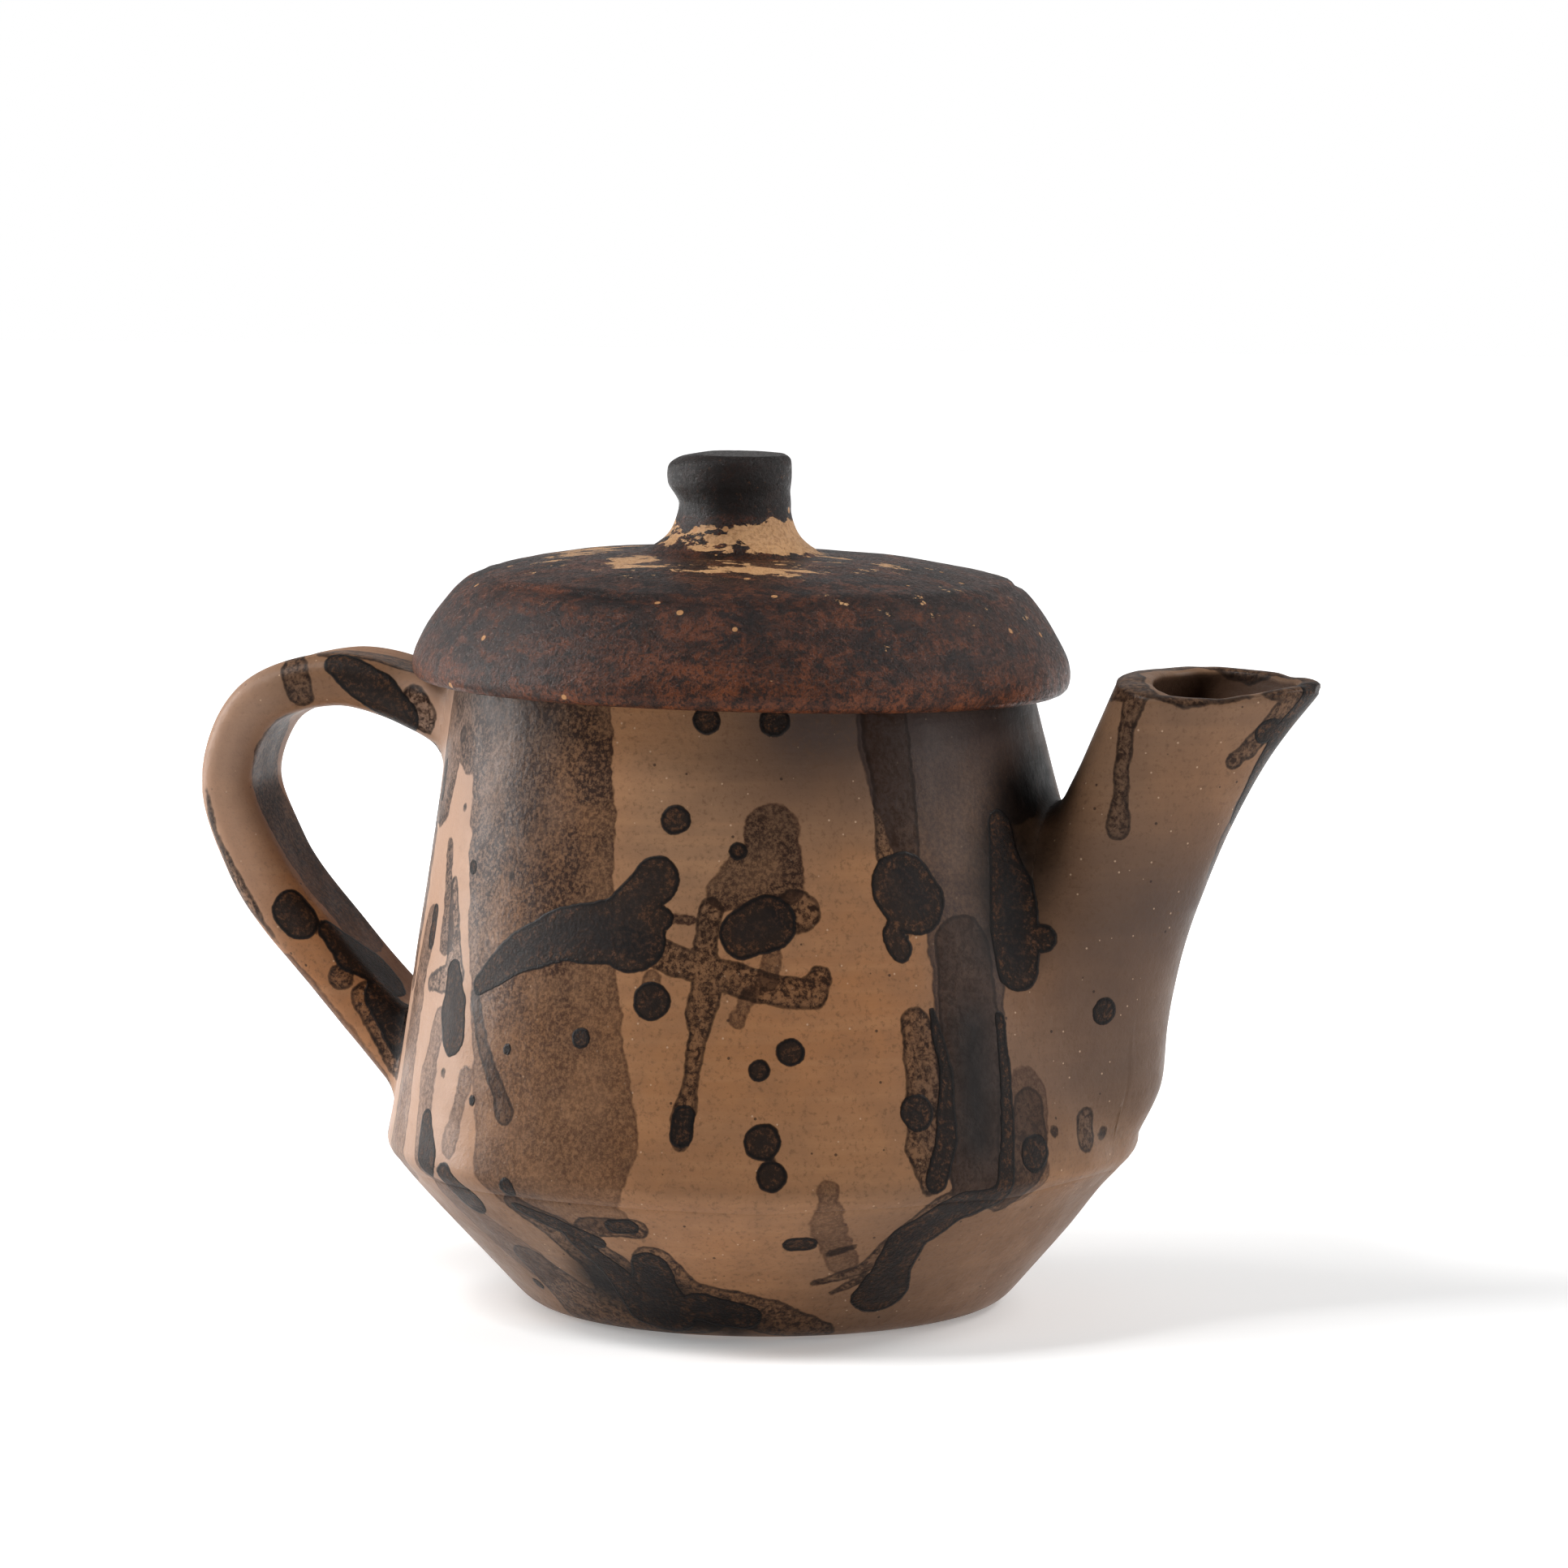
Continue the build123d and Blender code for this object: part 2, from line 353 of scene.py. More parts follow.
def spout_distance(points):
    """Distance outside the spout, found along the line from its section's centre."""
    table = SPOUT_OUTSIDE
    z = np.clip(points[:, 2], table[0, 0], table[-1, 0])
    rear, front, half_width, point = smooth_curve(z, table[:, 0], table[:, 1:]).T
    half_length = (front - rear) / 2
    x = points[:, 0] - (rear + front) / 2
    y = points[:, 1]
    turn = np.arctan2(y / half_width, x / half_length)
    for _ in range(8):
        turn = np.arctan2(y / (half_width * (1 - point * np.cos(turn))), x / half_length)
    edge_x = half_length * np.cos(turn)
    edge_y = half_width * np.sin(turn) * (1 - point * np.cos(turn))
    edge = np.hypot(edge_x, edge_y)
    normal_x = half_width * (np.cos(turn) - point * np.cos(2 * turn))
    normal_y = half_length * np.sin(turn)
    facing = (normal_x * edge_x + normal_y * edge_y) / (np.hypot(normal_x, normal_y) * edge)
    flat = (np.hypot(x, y) - edge) * np.clip(facing, 0.3, 1)
    return 0.93 * flat + np.maximum(table[0, 0] - points[:, 2], 0)


# ---------------------------------------------------------------- the handle as a field
def strap_line(step=0.8):
    """Centre points, tangents and shares along the strap's path."""
    line = even_line(HANDLE_PATH, step)
    return line, unit(np.gradient(line, axis=0)), np.linspace(0, 1, len(line))


def strap_size(share):
    """The strap's width and thickness at a share of its path."""
    growth = ROOT_GROWTHS[0] * np.maximum(0, 1 - share / ROOT_SHARES[0]) ** 1.5
    growth = growth + ROOT_GROWTHS[1] * np.maximum(0, 1 - (1 - share) / ROOT_SHARES[1]) ** 1.5
    lower_run = 1.3 * bell((share - 0.66) / 0.18)
    return STRAP_WIDTH + growth, STRAP_THICK + growth + lower_run


STRAP_LINE, STRAP_TANGENT, STRAP_SHARE = strap_line()


def strap_distance(points):
    """Distance outside the strap, from its nearest rounded rectangular section."""
    gaps = points[:, None, [0, 2]] - STRAP_LINE[None]
    nearest = np.argmin(np.sum(gaps**2, axis=2), axis=1)
    offset = gaps[np.arange(len(points)), nearest]
    tangent = STRAP_TANGENT[nearest]
    across = offset[:, 0] * tangent[:, 1] - offset[:, 1] * tangent[:, 0]
    width, thick = strap_size(STRAP_SHARE[nearest])
    side = np.stack([np.abs(points[:, 1]) - width / 2, np.abs(across) - thick / 2], axis=1)
    side += STRAP_CORNER_R
    outside = np.linalg.norm(np.maximum(side, 0), axis=1)
    return outside + np.minimum(side.max(axis=1), 0) - STRAP_CORNER_R


# ---------------------------------------------------------------- soft joints between them
def spout_blend(points):
    """How wide the luted clay is smoothed between spout and body, tight up in the saddle."""
    low = 2.0 + 7.0 * smooth_step(points[:, 2], 28, 58)
    return low - 4.5 * smooth_step(points[:, 2], 80, 93)


def soft_union(first, second, width):
    """The nearer of two distances, smoothed over the given width."""
    overlap = np.maximum(width - np.abs(first - second), 0) / width
    return np.minimum(first, second) - overlap**2 * width / 4


def pot_distance(points):
    """Distance outside the pot with its spout and handle, all softly joined."""
    total = body_distance(points)
    near_spout = points[:, 0] > 15
    near_strap = points[:, 0] < -35
    part = points[near_spout]
    total[near_spout] = soft_union(total[near_spout], spout_distance(part), spout_blend(part))
    part = points[near_strap]
    width = 3.0 + 1.0 * smooth_step(part[:, 2], 40, 90)
    total[near_strap] = soft_union(total[near_strap], strap_distance(part), width)
    return total


def gradient(field, points, step=0.05):
    """The field's direction of steepest rise."""
    parts = []
    for axis in np.eye(3) * step:
        parts.append((field(points + axis) - field(points - axis)) / (2 * step))
    return np.stack(parts, axis=1)


def settle(points, other_distance):
    """Moves points onto the joined skin, but lets those inside the other solid stay sunk."""
    depth = other_distance(points)
    active = (depth > -3.2) & (depth < 12)
    moved = points[active]
    for _ in range(5):
        rise = gradient(pot_distance, moved)
        length = np.maximum(np.sum(rise**2, axis=1), 0.2)
        moved = moved - rise * (pot_distance(moved) / length)[:, None]
    weight = smooth_step(depth[active], -3.2, -0.5)[:, None]
    settled = points.copy()
    settled[active] = points[active] * (1 - weight) + moved * weight
    return settled


def unevenness(points, layers=POT_DENTS):
    """How far hand shaping pushed the skin out or in, in millimetres."""
    return sum(amount * lattice_noise(points, size, seed) for amount, size, seed in layers)


def hand_worked(points, facing, amount):
    """Points moved in or out along the way they face, by a share of the unevenness."""
    return points + facing * (amount * unevenness(points))[:, None]


def outward(points):
    """The joined skin's outward direction."""
    return unit(gradient(pot_distance, points, 0.3))


def under_lid(points):
    """Keeps clay next to the lid's rim just below it."""
    local = to_lid(points)
    radius = np.hypot(local[:, 0], local[:, 1])
    limit = -9.9 + 12 * smooth_step(53.4 - radius, 0, 1.2) + 40 * smooth_step(radius, 59.5, 61.5)
    local[:, 2] = np.minimum(local[:, 2], limit)
    return from_lid(local)


def from_lid(local):
    """Points from the lid's own frame to the shared one."""
    x, y, z = local.T
    across = MOUTH_X + x * math.cos(TILT) + z * math.sin(TILT)
    return np.stack([across, y, MOUTH_Z - x * math.sin(TILT) + z * math.cos(TILT)], axis=1)


def to_lid(points):
    """Points from the shared frame to the lid's own one."""
    x, y, z = points.T
    x = x - MOUTH_X
    z = z - MOUTH_Z
    along = x * math.sin(TILT) + z * math.cos(TILT)
    return np.stack([x * math.cos(TILT) - z * math.sin(TILT), y, along], axis=1)


# ---------------------------------------------------------------- meshes from loops of points
def bridge(low_start, low_count, high_start, high_count):
    """Faces between two loops that have as many points, or twice as many, as each other."""
    faces = []
    if low_count == high_count:
        for i in range(low_count):
            j = (i + 1) % low_count
            faces.append((low_start + i, low_start + j, high_start + j, high_start + i))
    elif low_count == 2 * high_count:
        for i in range(high_count):
            a, b, c = 2 * i, 2 * i + 1, (2 * i + 2) % low_count
            j = (i + 1) % high_count
            faces.append(
                (low_start + a, low_start + b, low_start + c, high_start + j, high_start + i)
            )
    else:
        faces = [face[::-1] for face in bridge(high_start, high_count, low_start, low_count)]
    return faces


def skin(loops, closed=False, start_cap=False, end_cap=False, skip=None):
    """Vertices and faces of a surface through a list of loops, but for the faces to skip."""
    starts = np.cumsum([0] + [len(loop) for loop in loops])
    points = np.concatenate(loops)
    faces = []
    for low in range(len(loops) if closed else len(loops) - 1):
        high = (low + 1) % len(loops)
        band = bridge(starts[low], len(loops[low]), starts[high], len(loops[high]))
        faces += [face for i, face in enumerate(band) if not (skip and skip(low, i))]
    for wanted, index, flip in ((start_cap, 0, True), (end_cap, len(loops) - 1, False)):
        if wanted:
            pole = len(points)
            points = np.vstack([points, loops[index].mean(axis=0)])
            count = len(loops[index])
            for i in range(count):
                face = (starts[index] + i, starts[index] + (i + 1) % count, pole)
                faces.append(face[::-1] if flip else face)
    return points, faces


def make_piece(name, node, body, clay, points, faces, attributes):
    """A smooth closed mesh with its vertex attributes, tied to the frame."""
    material, slot = clay
    mesh = bpy.data.meshes.new(name)
    mesh.from_pydata((points * MM).tolist(), [], faces)
    for label, values in attributes.items():
        layer = mesh.attributes.new(label, "FLOAT", "POINT")
        layer.data.foreach_set("value", np.asarray(values, np.float32))
    work = bmesh.new()
    work.from_mesh(mesh)
    bmesh.ops.recalc_face_normals(work, faces=work.faces)
    work.to_mesh(mesh)
    work.free()
    mesh.shade_smooth()
    mesh.materials.append(material)
    piece = bpy.data.objects.new(name, mesh)
    bpy.context.scene.collection.objects.link(piece)
    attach(piece, body)
    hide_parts(node)


# ---------------------------------------------------------------- splashes of ash and slip
# Each path is a run of (angle in degrees, height, radius) on the pot's body. Angle 0 faces the
# spout, 180 the handle and -90 the front. First the thick dark ones, with a glassy crust.
DENSE_PATHS = [
    [(-82, 110, 2.4)], [(-69, 110, 2.6)], [(-88, 93, 2.6)], [(-77, 88, 1.6)], [(-92, 62, 3.3)],
    [(-104, 55, 1.8)], [(-70, 54, 2.4)], [(-75, 51, 1.8)], [(-75, 39, 3.1)], [(-74, 33, 2.6)],
    [(-70.5, 20, 1.8), (-68, 20, 1.8)], [(-51, 43, 3.1)], [(-30, 34, 3.4)],
    [(-51, 73.5, 2), (-50, 71, 2.1)],
    [(-127, 62, 2), (-118, 68.5, 3.8), (-108, 72.5, 4.8), (-98, 73.5, 5.8), (-95.5, 72.5, 6)],
    [(-97, 77, 3.6), (-91.5, 82.5, 4.2)], [(-90.5, 76, 2.2)],
    [(-76.5, 74, 4.3), (-72.5, 75.8, 5)], [(-86.7, 43, 1.9), (-87.2, 39.8, 2.1)],
    [(-48, 81.5, 6), (-46.5, 79, 6)],
    [(-23.5, 90, 3.2), (-24.5, 80, 4.8), (-26.5, 72, 5.2), (-27.5, 66, 4.6)], [(-21, 70, 4.4)],
    [(-46, 60, 0.7), (-45, 50, 1.3), (-46.5, 38, 2.2), (-49, 31, 2.2)],
    [(-33, 58, 0.8), (-33.5, 48, 1.3), (-35, 38, 1.5), (-37, 28, 2.2)],
    [(-37, 27, 2.6), (-44, 25.5, 4), (-50.5, 20, 4), (-51.5, 14, 3.8), (-51.5, 9, 5.4)],
    [(-135.5, 63, 2.2), (-134, 57, 4.2), (-133, 52.5, 3.9)],
    [(-155, 97, 1.2), (-155, 92, 1.3)], [(-147, 72, 1.4), (-147, 67, 1.5)],
    [(-138, 37, 2), (-136.5, 31, 3.6)], [(-131, 28, 2.8), (-128.5, 24.5, 3.8)],
    [(-96, 15, 3.6), (-97, 5, 5.5)], [(-88, 7, 4), (-80, 5, 3.4)],
    [(-109, 19.5, 1.4), (-104, 13, 2.6), (-101, 5, 4)],
    [(-117, 24.5, 1.2), (-111, 22, 2), (-104, 19, 1.4)], [(-99.5, 22.5, 1.8), (-97, 22.8, 1.8)],
    [(20, 33, 2.8)], [(34, 98, 7), (36, 82, 4), (35, 60, 2.6), (36, 47, 3.4)],
    [(58, 70, 3.4)], [(62, 60, 1.9)], [(72, 41, 2.6)], [(50, 22, 3), (54, 12, 4.4)],
    [(84, 92, 5), (92, 86, 6), (104, 80, 4)], [(98, 73, 2.3)], [(88, 62, 3)],
    [(112, 47, 2.6)], [(118, 99, 2.4)], [(126, 66, 4.6), (128, 52, 2.4), (127, 40, 3.4)],
    [(141, 30, 2.6), (137, 22, 3.4), (133, 10, 5)], [(155, 78, 2.6)], [(199, 88, 3)],
    [(197, 60, 2.4)], [(188, 100, 4), (190, 84, 2.2), (189, 72, 3)], [(104, 16, 3.4)],
]
# Thinner brown ones that let specks of clay through.
DRIP_PATHS = [
    [(-97, 72, 2.6), (-85, 68.3, 2.8), (-78, 66, 2.8), (-71, 64, 2.7), (-66, 64, 2.6),
     (-64.6, 66.5, 2.3)],
    [(-82, 78, 2.3), (-83, 72, 2.2), (-83, 64, 2.8), (-84, 60, 2.5), (-84.6, 56, 1.7),
     (-85, 53, 1.6), (-86, 47, 1.6), (-87, 42, 2.2), (-87.3, 38.8, 1.6)],
    [(-68, 77.8, 3.8), (-66.5, 77.5, 3.2)],
    [(-47, 114, 4.6), (-47, 98, 4.2), (-48, 88, 4.2)],
    [(-38, 70, 6), (-39, 58, 6.4), (-40.5, 48, 6.4), (-42, 38, 6), (-42, 27, 5.4)],
    [(-49, 58, 3), (-49, 47, 3.6), (-50.5, 37, 3.4), (-50, 31, 2.4)],
    [(-30, 42, 3.6), (-31, 34, 4.6), (-35, 26.5, 3.6)],
    [(-47, 27, 2.6), (-53, 18, 3), (-57, 14.5, 1.8)],
    [(-52, 16, 1.8), (-62, 13, 1)], [(-57, 14, 1.2), (-66, 12, 0.8)],
    [(-56, 12.5, 1.2), (-62, 9.5, 0.8)], [(-60, 19, 0.8), (-64, 18, 1)],
    [(-128, 60, 1.2), (-124, 51, 1.4), (-120, 45, 1.7), (-118, 41, 2.1)],
    [(-140, 78, 1.4), (-135, 62, 3.2), (-144, 60, 1.6)],
    [(-117, 25, 2.4), (-111, 21, 4.2), (-105, 14, 5.5), (-102, 4, 8)],
    [(-95, 16, 4), (-92, 6, 7.4)], [(-88, 8, 5.4), (-76, 5.5, 4.8), (-64, 1.5, 3.6)],
    [(-124, 12, 5), (-118, 3, 8), (-106, 3, 7)], [(-105, 22, 2.4), (-96, 22.5, 2.6)],
    [(-17, 35, 2.6), (-17, 38, 2.4)], [(-25, 37, 1.2)], [(-28, 40, 0.9)],
    [(30, 112, 9), (33, 92, 8), (31, 74, 5), (32, 52, 5), (34, 33, 6)],
    [(64, 112, 4), (66, 96, 2.6), (65, 78, 2.2), (66, 64, 3)],
    [(80, 50, 2.4), (92, 54, 2.8), (106, 60, 2.6), (112, 66, 3.2)],
    [(122, 86, 3.2), (126, 66, 5)], [(142, 96, 4), (146, 74, 2.4), (145, 50, 3.2)],
    [(60, 10, 6), (76, 4, 6)], [(150, 12, 6), (166, 6, 6), (182, 14, 5)],
    [(172, 70, 2.2), (174, 48, 2.6), (173, 33, 3.4)], [(196, 30, 2.8)], [(180, 84, 3.4)],
]
# Broad brown stains with a fine stipple.
WASH_PATHS = [
    [(-121, 114, 17), (-118, 92, 18), (-116, 74, 17), (-112, 54, 16.5), (-109, 38, 17.5)],
    [(-140, 114, 9), (-139, 104, 7)], [(-108, 28, 8), (-100, 24, 4)],
    [(-71, 91.5, 4.8), (-71, 83, 5.4), (-76, 85, 3.6)], [(-75, 83, 4.4), (-80, 80.5, 3)],
    [(-89, 76, 0.9), (-85, 76, 1)], [(-92, 66, 1.6), (-92, 62, 1.6)],
    [(-76, 64, 1.5), (-78, 59.5, 1.3)], [(-72, 71, 1.6), (-73, 66, 1.6)],
    [(-30, 44, 5), (-33, 30, 6.5)],
    [(-149, 70, 3), (-152, 48, 5), (-150, 28, 5.4)], [(-158, 84, 2.8), (-158, 60, 3.4)],
    [(-138, 54, 2.6), (-140, 44, 3), (-138, 30, 3.4)], [(-144, 84, 1.4), (-140, 68, 2.8)],
    [(-128, 46, 1.8), (-130, 34, 2.2)], [(-134, 24, 4), (-126, 13, 6.5)],
    [(-66, 30, 2.2), (-65, 22, 3), (-61, 16, 3)],
    [(98, 114, 13), (101, 90, 14), (98, 66, 11), (103, 48, 12), (106, 34, 9)],
    [(150, 112, 9), (148, 90, 7), (150, 66, 5)], [(210, 112, 8), (207, 92, 6)],
    [(44, 60, 7), (42, 44, 8), (46, 30, 6)], [(76, 30, 7), (84, 18, 7)],
]
# Smooth grey-black bands near the spout.
VEIL_PATHS = [
    [(-37, 118, 14.5), (-37, 100, 14.5), (-36, 86, 12.5), (-36, 74, 9), (-39, 58, 7.4),
     (-40.5, 46, 7.4), (-42, 34, 6.6), (-42, 28, 5)],
    [(-16, 118, 12), (-16, 100, 10)],
]
# Soft black with no edge: smoke, and painted shade in the creases round the spout's root and low on the
# foot.
SOOT_AND_SHADE_PATHS = [
    [(-17, 95, 4), (-24, 84, 6), (-28, 72, 4)],
    [(0, 97, 5), (-12, 95, 4)], [(20, 92, 5), (27, 80, 5)],
    [(-39, 56, 1.5), (-41, 38, 1.5)], [(-107, 11, 5), (-97, 8, 5), (-82, 3, 3)],
]

# The same on the spout, as (turn in degrees, height, radius): 0 is the lip's line.
SPOUT_DENSE = [
    [(-52, 57, 2.4)], [(-65, 31, 3.5)], [(-100, 70, 3)],
    [(-10, 113, 3.4), (-14, 106, 3), (-9, 98, 2.2), (-5, 90, 1.6)],
    [(-34, 106, 2.6)], [(60, 78, 2.4)], [(95, 66, 2.8)], [(75, 55, 1.8)],
]
SPOUT_DRIP = [
    [(-130, 113, 2.8), (-122, 107, 1.8), (-111, 100, 1.4), (-102, 94.5, 1.5), (-94, 89.5, 2.1)],
    [(-6, 114, 4.4), (-9, 104, 3.6), (-5, 94, 2.6), (-3, 80, 1.4)], [(-44, 101, 1.9)],
    [(-34, 110, 2.4), (-38, 103, 2.2)], [(-43, 35, 2.2), (-44, 32, 2.2)],
    [(130, 112, 3), (118, 98, 2), (112, 86, 2.6)], [(30, 113, 3), (24, 100, 2)],
]
RIM_STAIN = [[(turn, 115.5, 3.2 + 0.9 * (turn % 3)) for turn in range(0, 361, 20)]]

# And on the strap, as (share of its path, place across its face, face, radius): across is -12 at
# the front edge, face is 1 outside and -1 inside the loop.
STRAP_DENSE = [
    [(0.665, -11.5, -0.4, 3.4), (0.685, -11.5, -0.4, 3.5)],
    [(0.72, -10, -1, 2.4), (0.76, -8, -1, 4.6), (0.80, -4, -1, 6)],
    [(0.235, -11, 0.7, 2.6), (0.19, -12, 0.1, 3.6), (0.14, -11, -0.6, 3.8)],
    [(0.83, -11, -1, 3.6), (0.88, -10, -0.7, 4.8), (0.95, -10, -0.3, 4.8)],
    [(0.6, 4, 1, 3)], [(0.45, 6, 1, 2.2)],
]
STRAP_DRIP = [
    [(0.285, -12, -0.7, 2.2), (0.29, -12, 0.6, 2.6), (0.30, 2, 1, 2.2), (0.31, 12, 0.8, 2)],
    [(0.25, -7, 1, 3), (0.17, -4, 1, 4.6), (0.10, -2, 1, 5)],
    [(0.11, -12, -0.3, 3), (0.13, -12, 0.2, 2.4)], [(0.775, -12, -0.3, 2.4)],
    [(0.45, -12, 0.95, 0.8), (0.53, -12, 0.85, 1.6), (0.62, -12, 0.85, 2.3), (0.70, -12, 1, 1.2)],
    [(0.82, -12, -0.6, 3.2), (0.89, -12, -0.3, 4.2), (0.97, -11, 0.1, 5)],
    [(0.36, 10, 1, 3.6)], [(0.55, 10, 1, 3), (0.7, 9, 1, 3.6)],
]
STRAP_WASH = [
    [(0.34, -6, -1, 3), (0.42, -2, -1, 7), (0.56, 1, -1, 7.5), (0.72, 2, -1, 7.5)],
    [(0.72, -9, 1, 3), (0.85, -8, 1, 4), (0.97, -8, 1, 4)],
]


def on_body(path):
    angles, heights, radii = np.array(path, float).T
    return body_point(np.radians(angles), heights), radii


def on_spout(path):
    turns, heights, radii = np.array(path, float).T
    return spout_point(np.radians(turns), heights, SPOUT_OUTSIDE), radii


def on_strap(path):
    shares, across, face, radii = np.array(path, float).T
    place = np.stack([np.interp(shares, STRAP_SHARE, axis) for axis in STRAP_LINE.T], axis=1)
    tangent = np.stack([np.interp(shares, STRAP_SHARE, axis) for axis in STRAP_TANGENT.T], axis=1)
    lift = face * strap_size(shares)[1] / 2
    x = place[:, 0] + tangent[:, 1] * lift
    z = place[:, 1] - tangent[:, 0] * lift
    return np.stack([x, across, z], axis=1), radii


def path_distance(points, centres, radii):
    """Distance outside a run of balls joined by cones."""
    best = np.linalg.norm(points - centres[0], axis=1) - radii[0]
    for start, end, low, high in zip(centres, centres[1:], radii, radii[1:]):
        run = end - start
        share = np.clip((points - start) @ run / max(run @ run, 1e-9), 0, 1)
        gap = np.linalg.norm(points - start - share[:, None] * run, axis=1)
        best = np.minimum(best, gap - (low + (high - low) * share))
    return best


def nearest_path(points, *groups):
    """The smallest distance to any path of the (place, paths) groups."""
    best = np.full(len(points), 12.0)
    for place, paths in groups:
        for path in paths:
            centres, radii = place(path)
            best = np.minimum(best, path_distance(points, centres, radii))
    return best


def splash_dots(count, seed):
    """Small round splashes thrown all over the body."""
    random = np.random.default_rng(seed)
    dots = []
    for _ in range(count):
        angle = random.uniform(15, 245)
        dots.append([(angle, random.uniform(6, 112), 0.6 + 1.7 * random.random() ** 2)])
    return dots


def pot_attributes(points, inside):
    """Distances to the splashes in mm, and how much soot and painted shade, smoke and painted shade,
    warmth and painted sheen each point has.
    """
    x, y, z = points.T
    random_dots = splash_dots(46, 21)
    dense = nearest_path(
        points, (on_body, DENSE_PATHS + random_dots[::2]), (on_spout, SPOUT_DENSE),
        (on_strap, STRAP_DENSE),
    )
    drip = nearest_path(
        points, (on_body, DRIP_PATHS + random_dots[1::2]), (on_spout, SPOUT_DRIP + RIM_STAIN),
        (on_strap, STRAP_DRIP),
    )
    wash = nearest_path(points, (on_body, WASH_PATHS), (on_strap, STRAP_WASH))
    veil = nearest_path(points, (on_body, VEIL_PATHS))
    # Soot, and painted shade in the creases round the spout's root and low on the foot.
    soot_and_shade = 1 - smooth_step(nearest_path(points, (on_body, SOOT_AND_SHADE_PATHS)), -3, 7)
    spout_smoke = smooth_step(x, 30, 62) * smooth_step(z, 16, 44)
    spout_smoke *= 1 - 0.6 * smooth_step(z, 72, 100)
    corner = smooth_step(z, 80, 112) * smooth_step(x, -6, 22) * (1 - smooth_step(x, 50, 60))
    left = 0.6 * smooth_step(-x, 16, 34) * smooth_step(-y, 0, 20) * smooth_step(z, 74, 104)
    # Painted shade: the lower bowl is darkened towards the floor.
    low = 0.55 * smooth_step(np.abs(x), 5, 40) * (1 - smooth_step(z, 20, 38))
    # Smoke by the spout and high on the wall round the spout side, darker clay on the upper front-left,
    # and the lower bowl's painted shade.
    smoke_and_shade = np.maximum(np.maximum(0.82 * spout_smoke, corner), np.maximum(left, low))
    smoke_and_shade = np.clip(smoke_and_shade + 0.16 * lattice_noise(points, 26, 31), 0, 1)
    strap = smooth_step(-x, 62, 72)
    # Painted sheen: paler, pinkish clay on the body's front left, and at half strength on the strap's
    # outer loop.
    painted_sheen = smooth_step(-x, 28, 52) * (1 - strap) * smooth_step(-y, 0, 20) * smooth_step(z, 14, 34)
    painted_sheen = np.maximum(painted_sheen, 0.5 * smooth_step(-x, 84, 97))
    warm = 0.35 + 0.5 * lattice_noise(points, 30, 32) + 0.45 * strap - smoke_and_shade - 0.8 * painted_sheen
    warm = np.clip(warm, 0, 1)
    return {
        "dense": dense, "drip": drip, "wash": wash, "veil": veil, "soot_and_shade": soot_and_shade,
        "smoke_and_shade": smoke_and_shade, "warm": warm, "painted_sheen": painted_sheen, "inside": inside,
    }


# ---------------------------------------------------------------- materials
def srgb(red, green, blue):
    """A linear colour from everyday 0 to 255 values."""
    linear = []
    for value in (red, green, blue):
        share = value / 255
        linear.append(share / 12.92 if share <= 0.04045 else ((share + 0.055) / 1.055) ** 2.4)
    return (*linear, 1.0)


